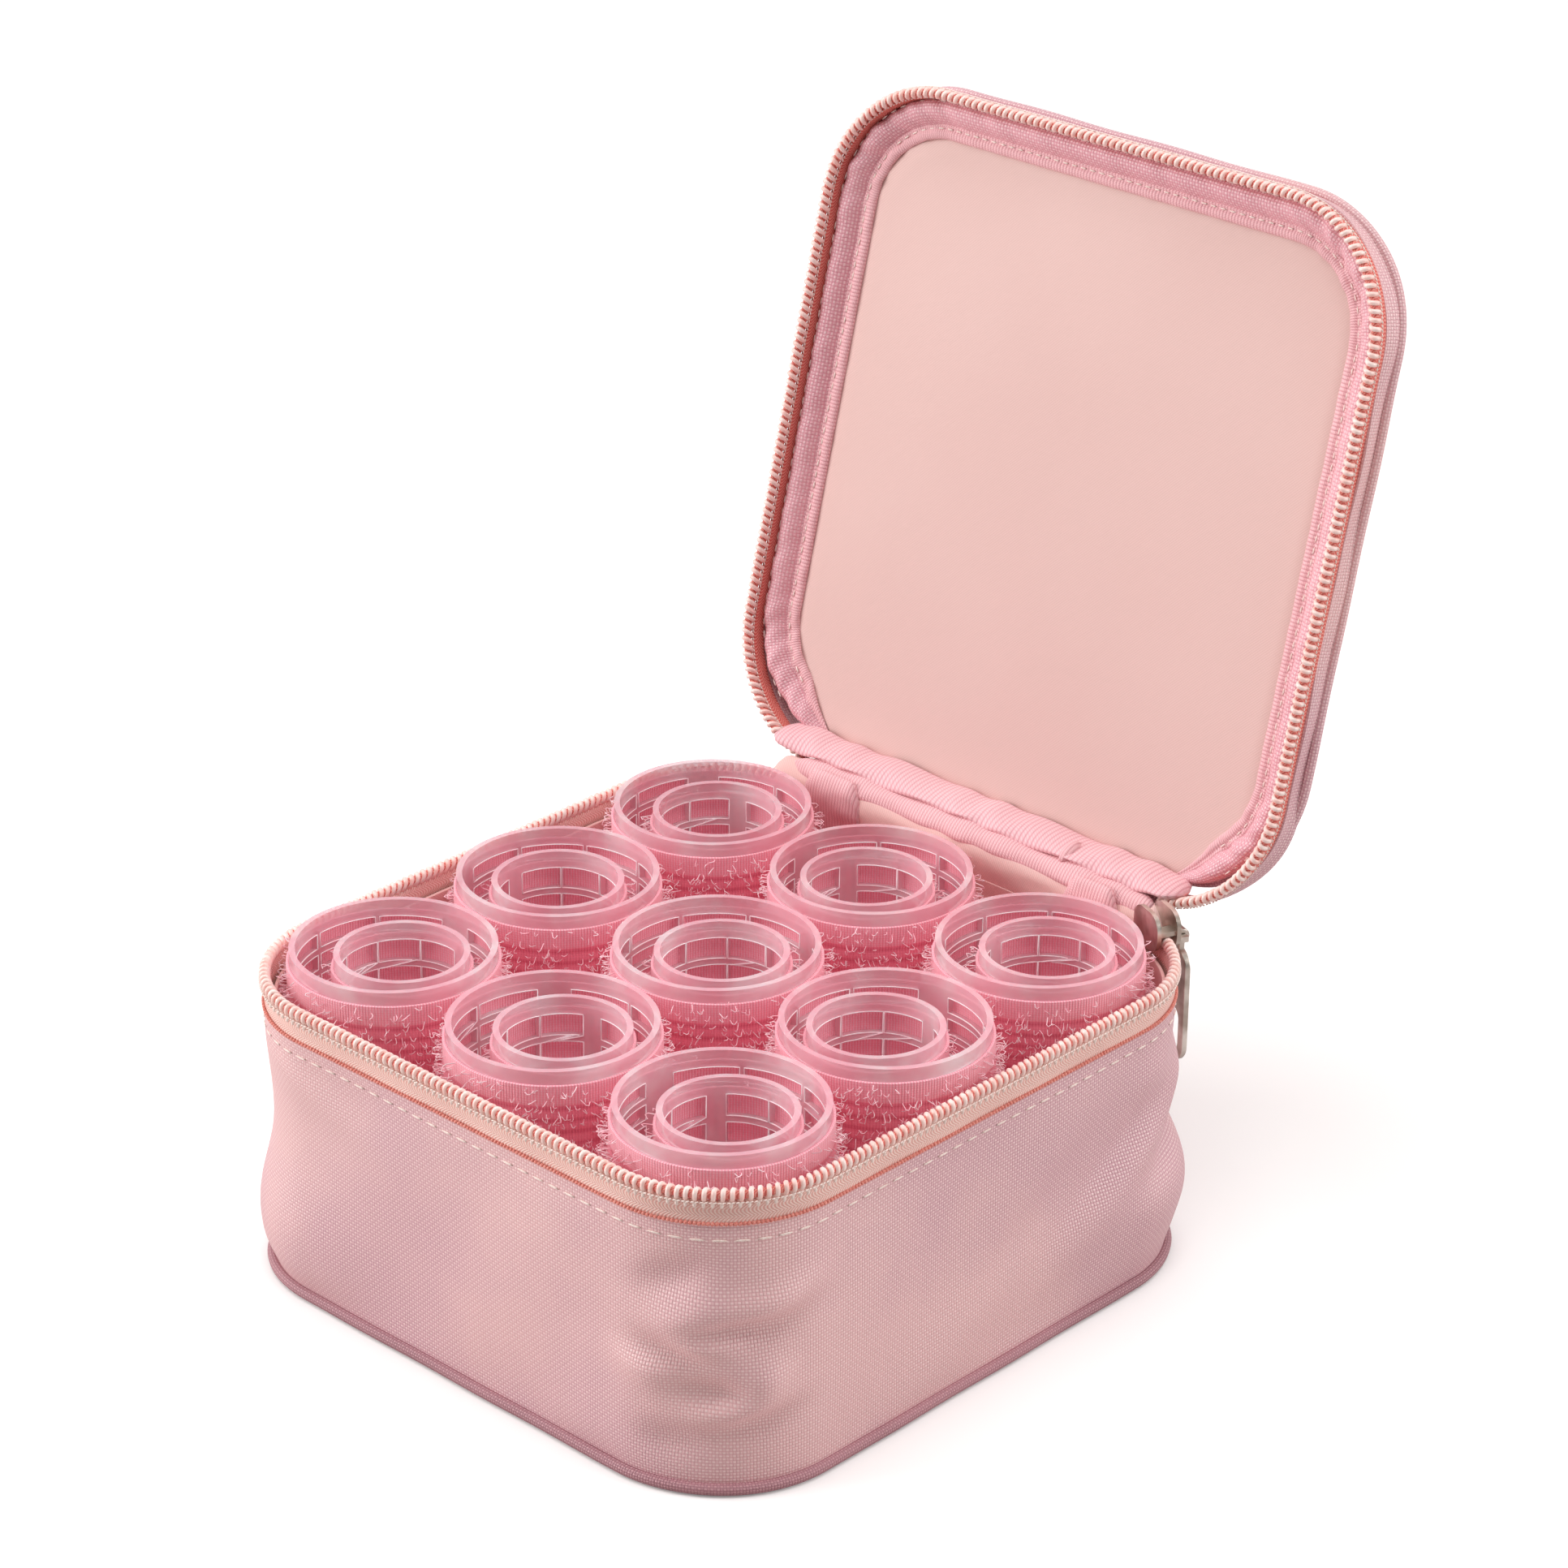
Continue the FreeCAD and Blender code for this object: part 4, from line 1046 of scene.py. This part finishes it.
def strip(name, section, left, right, finish, wander, step=1.2, seed=0.0):
    """Carry a closed (y, z) cross-section along X, with wrinkles along it and rounded ends."""
    loop = rounded(section)
    count, around = round((right - left) / step) + 1, len(loop)
    xs = np.linspace(left, right, count)
    grid = np.zeros((count, around, 3))
    grid[..., 0] = xs[:, None]
    middle = loop.mean(axis=0)
    wave = np.sin(xs / 2.1 + seed + 1.4 * np.sin(xs / 6.0)) + 0.7 * np.sin(xs / 4.7 + seed)
    fold = np.sin(loop[:, 1] * 1.3 + seed)
    lean = loop - middle
    past = np.abs(xs - xs.mean()) - (right - left) / 2 + END_ROUNDING
    fullness = np.sqrt(np.clip(1 - past / (END_ROUNDING + 0.05), 0.05, 1))
    grid[..., 1:] = middle + lean[None] * fullness[:, None, None] + wander * wave[:, None, None] * (
        0.6 * lean[None] / np.abs(lean).max() + 0.5 * fold[None, :, None])
    return mesh_from(name, grid, *skin(count, loop, xs - left, False), finish)


def lid_spot(along, up):
    """The (y, z) place of a lid point, given from the hinge line while closed."""
    y, z = on_lid(0.0)(np.array((0.0, -along, up)))[1:]
    return float(y), float(z)


back = HALF_Y
outer_section = [(back + 0.1, 54.5), (back + 0.3, 59.5), (back + 1.3, 62.0), lid_spot(1.0, 4.5),
                 lid_spot(2.0, 8.4), lid_spot(5.2, 9.9), lid_spot(6.4, 9.6), lid_spot(4.6, 7.6),
                 lid_spot(2.6, 3.5), (back + 0.2, 63.4), (back - 0.7, 60.0), (back - 0.8, 54.5)]
hinge_cloth = strip("hinge_outer_cloth", outer_section, -47.0, 47.0, pink_cloth, 0.3)
inner_back = back - LAYERS
lining_section = [(inner_back + 0.2, 54.0), (inner_back + 0.1, 60.0), (inner_back + 0.6, 63.0),
                  (inner_back + 2.8, 65.6), (inner_back + 4.6, 65.8), (inner_back + 2.0, 62.8),
                  (inner_back + 0.9, 54.0)]
hinge_lining = strip("hinge_lining_cloth", lining_section, -52.0, 52.0, tub_lining_lightened, 0.2, seed=1.0)
tape_place = [lid_spot(-1.4, -2.6), lid_spot(-0.2, -3.1), lid_spot(1.4, -2.6), lid_spot(2.8, -1.4),
              lid_spot(3.2, 0.4), lid_spot(1.4, 0.2), lid_spot(-0.6, -1.2)]
hinge_tape = strip("hinge_ribbed_tape", tape_place, -47.0, 48.0, narrow_tape, 0.3, seed=2.0)
roll_place = [lid_spot(2.6, -0.8), lid_spot(3.8, -1.2), lid_spot(5.2, 0.2), lid_spot(6.5, 3.0),
              lid_spot(7.2, 6.6), lid_spot(6.0, 7.6), lid_spot(3.8, 6.2), lid_spot(2.6, 2.2)]
hinge_roll = strip("hinge_binding_roll", roll_place, -56.0, 52.0, ribbed_binding, 0.85, seed=3.0)
knot_place = [lid_spot(1.6, -2.2), lid_spot(3.2, -2.6), lid_spot(5.6, -1.2), lid_spot(7.2, 2.2),
              lid_spot(6.6, 5.0), lid_spot(4.0, 4.0), lid_spot(2.0, 1.0)]
hinge_join = strip("hinge_tape_join", knot_place, 22.5, 26.5, narrow_tape, 0.25, 0.6, seed=4.0)
tab_section = [(inner_back - 0.2, 50.0), (inner_back - 0.9, 58.0), (inner_back - 1.1, 63.0),
               (inner_back + 0.8, 67.0), (inner_back + 2.0, 66.6), (inner_back + 0.3, 62.5),
               (inner_back + 0.1, 50.0)]
left_tab = strip("left_zip_end_tab", tab_section, -42.0, -26.0, narrow_tape, 0.25, 0.8, seed=5.0)
right_tab = strip("right_zip_end_tab", tab_section, 27.5, 42.0, narrow_tape, 0.25, 0.8, seed=6.0)
print("hinge strip faces", len(hinge_cloth.data.polygons), "binding faces", len(hinge_roll.data.polygons))

# %% [markdown]
# A self-grip roller is a plastic ladder tube with a sleeve of hook tape glued round it.
# The tube is the model's own part, because its windows are already right: it only needs its plastic.
# The sleeve is a knitted ring with a bare woven edge at each end, so it is a band round a circle.

# %% Sleeves of the rollers


def round_path(centre, radius, step):
    """A circle in the same form as the outlines."""
    count = round(2 * math.pi * radius / step)
    turns = np.linspace(0, 2 * math.pi, count, endpoint=False)
    outward = np.column_stack([np.cos(turns), np.sin(turns)])
    return {"points": np.array(centre) + radius * outward, "outward": outward,
            "distances": turns * radius, "total": 2 * math.pi * radius, "closed": True}


BARE_EDGE, BACKING, SLEEVE_STEP, SLEEVE_ROWS = 0.6, 0.55, 1.8, 58


def belted(distance, height, out):
    """The backing swells a little between the rings of the tube behind it."""
    belt = np.cos(2 * math.pi * (height - SLEEVE_LOW) / BAND_PITCH)
    belt = belt * (np.minimum(height - SLEEVE_LOW, SLEEVE_HIGH - height) > SELVAGE)
    return np.where(out > BACKING / 2, -0.16 * belt + 0.03 * np.sin(distance * 1.1), 0.0)


def sleeve(name, core):
    """The knitted ring round one core, with a value on each point for how many hooks grow there."""
    low, high = box_mm(core)
    centre, radius = (low[:2] + high[:2]) / 2, (high[0] - low[0]) / 2
    ring = band(name, round_path(centre, radius + 0.02, SLEEVE_STEP),
                upright(BACKING, 0.0, SLEEVE_LOW, SLEEVE_HIGH, 0.2, SLEEVE_ROWS), on_case, knit, belted)
    points = np.zeros(len(ring.data.vertices) * 3)
    ring.data.vertices.foreach_get("co", points)
    points = points.reshape(-1, 3) / MM
    reach = np.linalg.norm(points[:, :2] - centre, axis=1) - radius
    edge = np.minimum(points[:, 2] - SLEEVE_LOW, SLEEVE_HIGH - points[:, 2])
    belt = 0.52 - 0.48 * np.cos(2 * math.pi * (points[:, 2] - SLEEVE_LOW) / BAND_PITCH)
    thick = 0.5 + 0.5 * np.clip((edge - SELVAGE) / 0.5, 0, 1)
    share = np.clip((edge - BARE_EDGE) / 0.5, 0, 1) * (reach > BACKING / 2) * belt * thick
    layer = ring.data.attributes.new("hooks", "FLOAT", "POINT")
    layer.data.foreach_set("value", share.astype(np.float32))
    return ring


print("sleeve", round(SLEEVE_HEIGHT, 1), "mm tall")

# %% [markdown]
# The hooks are short loops of nylon thread, thousands on each sleeve, so they are grown by Geometry Nodes.
# Hair strands would be lighter, but they aren't a mesh, and the finished part has to be one.
# Points are scattered where the tape has hooks, and each gets one bent thread with only nine faces.
# The seed is fixed and differs from roller to roller, so that no two sleeves look copied.

# %% The hook tree and all eighteen sleeves


def build_hook_tree():
    """Scatter bent threads over the hooked part of a sleeve."""
    tree, given, result = node_tree("hook tape", {"Density": "Float", "Hook": "Float", "Wire": "Float",
                                                  "Seed": "Int", "Nylon": "Material"})
    share = grow(tree, "GeometryNodeInputNamedAttribute", {"data_type": "FLOAT"}, {"Name": "hooks"})
    density = counted(tree, "MULTIPLY", share.outputs[0], given.outputs["Density"])
    spots = grow(tree, "GeometryNodeDistributePointsOnFaces", {"distribute_method": "RANDOM"},
                 {"Mesh": given.outputs["Geometry"], "Density": density, "Seed": given.outputs["Seed"]})
    tall = given.outputs["Hook"]
    middle = grow(tree, "ShaderNodeCombineXYZ", None, {0: counted(tree, "MULTIPLY", tall, 0.05),
                                                       2: counted(tree, "MULTIPLY", tall, 1.9)})
    end = grow(tree, "ShaderNodeCombineXYZ", None, {0: counted(tree, "MULTIPLY", tall, 0.7),
                                                    2: counted(tree, "MULTIPLY", tall, 0.75)})
    bend = grow(tree, "GeometryNodeCurveQuadraticBezier", None,
                {"Resolution": 3, "Start": (0, 0, 0), "Middle": middle.outputs[0], "End": end.outputs[0]})
    ring = grow(tree, "GeometryNodeCurvePrimitiveCircle", {"mode": "RADIUS"},
                {"Resolution": 3, "Radius": given.outputs["Wire"]})
    hook = grow(tree, "GeometryNodeCurveToMesh", None,
                {"Curve": bend.outputs[0], "Profile Curve": ring.outputs[0]})
    spin = grow(tree, "FunctionNodeRandomValue", {"data_type": "FLOAT_VECTOR"},
                {0: (-0.45, -0.45, -math.pi), 1: (0.45, 0.45, math.pi), "Seed": 3})
    turned = grow(tree, "FunctionNodeRotateRotation", {"rotation_space": "LOCAL"},
                  {"Rotation": spots.outputs["Rotation"], "Rotate By": spin.outputs[0]})
    size = grow(tree, "FunctionNodeRandomValue", {"data_type": "FLOAT"}, {2: 0.7, 3: 1.15, "Seed": 5})
    placed = grow(tree, "GeometryNodeInstanceOnPoints", None,
                  {"Points": spots.outputs["Points"], "Instance": hook.outputs[0],
                   "Rotation": turned.outputs[0], "Scale": size.outputs[1]})
    end_tree(tree, result, placed.outputs[0], given.outputs["Nylon"])
    return tree


hook_tree = build_hook_tree()
ROLLERS = [(kind, number) for kind in ("large", "small") for number in range(1, 10)]
HOOKS = {"Hook": 1.6 * MM, "Wire": 0.1 * MM, "Nylon": hook_nylon}
HOOK_DENSITY = {"large": 1.05e6, "small": 0.8e6}
sleeves, hooks = {}, {}


def copied(piece):
    """A second object with its own copy of the mesh."""
    twin = piece.copy()
    twin.data = piece.data.copy()
    bpy.context.scene.collection.objects.link(twin)
    return twin


for kind, number in ROLLERS:
    ring = sleeve(f"{kind}_sleeve_{number}", f"{kind}_core_{number}")
    sleeves[kind, number] = ring
    values = {**HOOKS, "Density": HOOK_DENSITY[kind], "Seed": number + 20}
    hooks[kind, number] = made_by(hook_tree, copied(ring), values, f"{kind}_hooks_{number}")
print("faces of all hooks", sum(len(piece.data.polygons) for piece in hooks.values()))

# %% [markdown]
# The moulded windows of each tube have polished lips that gather light and show as bright lines.
# Bevelling the tube itself would give them too, but with far more faces, and it would alter the model.
# Geometry Nodes finds the sharp edges on the inside of the tube and lays a thin bead along them,
# so the beads follow the model's own windows exactly. The beads are near white and glow faintly:
# they are a painted glint that stands in for those bright lines.

# %% Painted glints along the windows' lips


def build_lip_tree():
    """Lay a bead along the sharp inner edges of a tube, to carry a painted glint."""
    tree, given, result = node_tree("window lip glints", {"Centre": "Vector", "Inner": "Float", "Bead": "Float",
                                                    "Half height": "Float", "Plastic": "Material"})
    joined = grow(tree, "GeometryNodeMergeByDistance", None,
                  {"Geometry": given.outputs["Geometry"], "Distance": 1e-6})
    place = grow(tree, "GeometryNodeInputPosition").outputs[0]
    away = combined(tree, "SUBTRACT", place, given.outputs["Centre"])
    level = combined(tree, "MULTIPLY", away, (1, 1, 0))
    reach = grow(tree, "ShaderNodeVectorMath", {"operation": "LENGTH"}, {0: level}).outputs["Value"]
    inside = counted(tree, "LESS_THAN", reach, given.outputs["Inner"])
    height = grow(tree, "ShaderNodeSeparateXYZ", None, {0: away}).outputs[2]
    between = counted(tree, "LESS_THAN", counted(tree, "ABSOLUTE", height), given.outputs["Half height"])
    chosen = counted(tree, "MULTIPLY", inside, between)
    sharp = counted(tree, "GREATER_THAN", grow(tree, "GeometryNodeInputMeshEdgeAngle").outputs[0], 1.0)
    lines = grow(tree, "GeometryNodeMeshToCurve", None,
                 {"Mesh": joined.outputs[0], "Selection": counted(tree, "MULTIPLY", chosen, sharp)})
    ring = grow(tree, "GeometryNodeCurvePrimitiveCircle", {"mode": "RADIUS"},
                {"Resolution": 3, "Radius": given.outputs["Bead"]})
    bead = grow(tree, "GeometryNodeCurveToMesh", None,
                {"Curve": lines.outputs[0], "Profile Curve": ring.outputs[0]})
    end_tree(tree, result, bead.outputs[0], given.outputs["Plastic"])
    return tree


lip_tree = build_lip_tree()
OUTER_SHARE, RIM_SHARE, BEAD = 0.9 * MM, 1.0 * MM, 0.15 * MM
lips = {}
for kind, number in ROLLERS:
    core = frame["nodes"][f"{kind}_core_{number}"]
    low, high = box_mm(f"{kind}_core_{number}")
    centre = (low + high) / 2 * MM
    values = {"Centre": tuple(centre), "Inner": (high[0] - low[0]) / 2 * MM - OUTER_SHARE,
              "Half height": (high[2] - low[2]) / 2 * MM - RIM_SHARE, "Bead": BEAD, "Plastic": lip_glint_paint}
    lips[kind, number] = made_by(lip_tree, copied(core), values, f"{kind}_window_lip_glints_{number}")
    for place in core.material_slots:
        place.material = core_plastic
for place in frame["nodes"]["base_board"].material_slots:
    place.material = board
print("faces of all window lip glints", sum(len(piece.data.polygons) for piece in lips.values()))

# %% [markdown]
# The slider and its pull are pressed metal, so their edges are rounded by the press.
# Copies of the model's parts get a small bevel, which catches a thin line of light as the real ones do.

# %% Slider and pull


def pressed(node, name, edge):
    """A copy of a metal part with its corners rounded."""
    made = bmesh.new()
    made.from_mesh(frame["nodes"][node].data)
    bmesh.ops.remove_doubles(made, verts=made.verts, dist=1e-6)
    bmesh.ops.dissolve_limit(made, angle_limit=math.radians(1), verts=made.verts, edges=made.edges)
    mesh = bpy.data.meshes.new(name)
    made.to_mesh(mesh)
    made.free()
    piece = shown(name, mesh)
    bevel = piece.modifiers.new("pressed edges", "BEVEL")
    bevel.width, bevel.segments, bevel.limit_method = edge * MM, 2, "ANGLE"
    bevel.angle_limit = math.radians(35)
    smooth = applied(piece)
    piece.modifiers.clear()
    piece.data = smooth
    smooth.materials.clear()
    smooth.materials.append(nickel)
    smooth.polygons.foreach_set("material_index", [0] * len(smooth.polygons))
    smooth.polygons.foreach_set("use_smooth", [False] * len(smooth.polygons))
    return piece


slider = pressed("zip_slider", "slider_body", 0.22)
pull = pressed("zip_pull", "slider_pull", 0.2)
print("slider faces", len(slider.data.polygons), "pull faces", len(pull.data.polygons))

# %% [markdown]
# Every piece is now tied to the body it moves with, and the model's parts that it replaces are hidden.
# The strips at the hinge belong to two bodies, so they are fixed where they stand instead.

# %% Tie the pieces to the moving bodies
TIES = [
    (wall, "case", "pink_oxford_cloth", ["tub_wall"]),
    (base_cloth, "case", "pink_oxford_cloth", ["base_panel"]),
    (base_piping, "case", "piping_cloth", ["base_piping"]),
    (wall_pad, "case", "foam", ["wall_foam"]),
    (lining, "case", "peach_lining_cloth", ["tub_lining"]),
    (floor_cloth, "case", "peach_lining_cloth", ["base_lining"]),
    (case_tape, "case", "zip_tape", ["tub_zip_tape"]),
    (case_selvage, "case", "zip_tape", []),
    (case_coil, "case", "zip_coil_nylon", ["tub_zip_coil"]),
    (coil_core, "case", "zip_tape", []),
    (wall_seam, "case", "piping_cloth", []),
    (coil_seam, "case", "piping_cloth", []),
    (coil_feet, "case", "piping_cloth", []),
    (slab, "lid", "pink_oxford_cloth", ["lid_panel", "lid_board"]),
    (side_band, "lid", "pink_oxford_cloth", ["lid_side_band"]),
    (lid_piping, "lid", "piping_cloth", ["lid_piping"]),
    (lid_lining, "lid", "peach_lining_cloth", ["lid_lining"]),
    (lid_roll, "lid", "grosgrain_binding", ["lid_binding"]),
    (lid_rib, "lid", "grosgrain_binding", []),
    (rib_seam, "lid", "piping_cloth", []),
    (roll_seam, "lid", "piping_cloth", []),
    (lid_tape, "lid", "zip_tape", ["lid_zip_tape"]),
    (lid_coil, "lid", "zip_coil_nylon", ["lid_zip_coil"]),
    (lid_coil_core, "lid", "zip_tape", []),
    (lid_coil_seam, "lid", "piping_cloth", []),
    (lid_inner_seam, "lid", "piping_cloth", []),
    (slider, "slider", "zip_metal", ["zip_slider"]),
    (pull, "pull", "zip_metal", ["zip_pull"]),
]
for kind, number in ROLLERS:
    body = f"{kind}_roller_{number}"
    TIES.append((sleeves[kind, number], body, "hook_tape", [f"{kind}_grip_{number}"]))
    TIES.append((hooks[kind, number], body, "hook_tape", []))
    TIES.append((lips[kind, number], body, "roller_plastic", []))
for piece, body, slot, nodes in TIES:
    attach(piece, body)
    if nodes:
        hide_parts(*nodes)

BENDS = [
    (hinge_cloth, "pink_oxford_cloth", ["hinge_strip"], (back, 60.0), (back + 8.0, 66.0)),
    (hinge_lining, "peach_lining_cloth", [], (inner_back, 60.0), (inner_back + 6.0, 70.0)),
    (hinge_tape, "grosgrain_binding", ["hinge_binding"], (inner_back, 61.0), (inner_back + 6.0, 70.0)),
    (hinge_join, "grosgrain_binding", [], (inner_back, 61.0), (inner_back + 6.0, 70.0)),
    (hinge_roll, "grosgrain_binding", [], (inner_back, 62.0), (inner_back + 5.0, 68.0)),
    (left_tab, "grosgrain_binding", ["left_zip_tab"], (inner_back, 58.0), (inner_back + 3.0, 68.0)),
    (right_tab, "grosgrain_binding", ["right_zip_tab"], (inner_back, 58.0), (inner_back + 3.0, 68.0)),
]
for piece, slot, nodes, start, end in BENDS:
    start[0] * MM
    start[1] * MM
    end[0] * MM
    end[1] * MM
    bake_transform(piece)
    if nodes:
        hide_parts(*nodes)
print("pieces tied", len(TIES), "pieces that bend", len(BENDS))

# %% [markdown]
# Three pieces are soft: two padded ones and one stretched sheet. The faces of the two padded ones are
# counted.

print("lid cover faces", len(slab.data.polygons), "foam faces", len(wall_pad.data.polygons))

# %% [markdown]
# A plain pale floor and large soft lights: big lights give satin cloth its broad, soft sheen instead
# of hard glints. Two stand at the sides and one overhead, so the front corner stays in half shade.

# %% Floor, lights and room
FLOOR_HALF = 6.0
LIGHTS_AIM = (0.0, 0.0, 0.08)


def pale_floor():
    """A large plain floor that is only stage: it looks white but throws little light back up."""
    finish = Finish("pale_floor")
    tone = finish.mix(finish.noise(3.0), dye("f4f3f2"), dye("f7f6f5"))
    matt = finish.node("ShaderNodeBsdfDiffuse", None, {"Color": tone})
    glow = finish.node("ShaderNodeEmission", None, {"Color": tone, "Strength": 0.2})
    seen = finish.node("ShaderNodeAddShader", None, {0: matt, 1: glow})
    dull = finish.node("ShaderNodeBsdfDiffuse", None, {"Color": dye("d2cac8")})
    by_eye = finish.node("ShaderNodeLightPath")
    chosen = finish.node("ShaderNodeMixShader", None, {0: by_eye, 1: dull, 2: seen})
    finish.node("ShaderNodeOutputMaterial", None, {"Surface": chosen})
    mesh = bpy.data.meshes.new("floor")
    square = [(-FLOOR_HALF, -FLOOR_HALF, 0), (FLOOR_HALF, -FLOOR_HALF, 0), (FLOOR_HALF, FLOOR_HALF, 0),
              (-FLOOR_HALF, FLOOR_HALF, 0)]
    mesh.from_pydata(square, [], [(0, 1, 2, 3)])
    mesh.materials.append(finish.material)
    shown("floor", mesh)


def soft_light(name, place, size, power, tint):
    """A square studio softbox."""
    light = bpy.data.lights.new(name, "AREA")
    light.shape, light.size, light.energy, light.color = "SQUARE", size, power, tint
    lamp = shown(name, light)
    lamp.location = place
    lamp.rotation_mode = "QUATERNION"
    lamp.rotation_quaternion = (Vector(LIGHTS_AIM) - Vector(place)).to_track_quat("-Z", "Y")


pale_floor()
soft_light("window_left", (-1.05, -1.0, 0.6), 1.0, 17.0, (1.0, 0.99, 0.98))
soft_light("window_right", (1.25, 0.85, 0.6), 0.9, 10.0, (1.0, 0.99, 0.98))
soft_light("overhead", (0.15, -0.1, 1.6), 1.3, 15.0, (1.0, 1.0, 1.0))


def pale_room():
    """White all round, and dimmer from the front, so that the front corner keeps its shading."""
    room = Finish("pale_room", bpy.data.worlds)
    direction = room.node("ShaderNodeTexCoord")
    facing = room.node("ShaderNodeVectorMath", {"operation": "DOT_PRODUCT"},
                       {0: direction, 1: (0.68, -0.72, 0.15)}, "Value")
    by_eye = room.node("ShaderNodeLightPath")
    dim = room.node("ShaderNodeMapRange", {"interpolation_type": "SMOOTHSTEP"},
                    {0: facing, 1: 0.0, 2: 0.9, 3: 0.58, 4: 0.06})
    strength = dim * (1 - by_eye) + by_eye
    sky = room.node("ShaderNodeBackground", None, {"Color": (1.0, 0.99, 0.985, 1.0), "Strength": strength})
    room.node("ShaderNodeOutputWorld", None, {"Surface": sky})
    bpy.context.scene.world = room.material


pale_room()
bpy.context.scene.view_settings.view_transform = "Standard"
print("lights", len(bpy.data.lights))

# %% [markdown]
# The camera looks at the middle of the object from a little above and to the right of its front corner.
# It is placed by where it aims, the direction back towards it, and its distance, because those three
# can each be changed without upsetting the others.

# %% The camera
DISTANCE = 0.9235
AIM = Vector((-0.0048, 0.0222, 0.0903))
BACKWARD = Vector((0.6184, -0.6566, 0.4318)).normalized()
RIGHT = Vector((0.7259, 0.6877, 0.0060)).normalized()
lens = bpy.data.cameras.new("studio_camera")
lens.lens, lens.sensor_width, lens.clip_start = 111.2, 36.0, 0.05
camera = shown("studio_camera", lens)
turn = Matrix((RIGHT, BACKWARD.cross(RIGHT), BACKWARD)).transposed()
camera.matrix_world = Matrix.Translation(AIM + DISTANCE * BACKWARD) @ turn.to_4x4()
bpy.context.scene.camera = camera
print("camera", round(DISTANCE, 2), "m away, lens", round(lens.lens, 1), "mm")
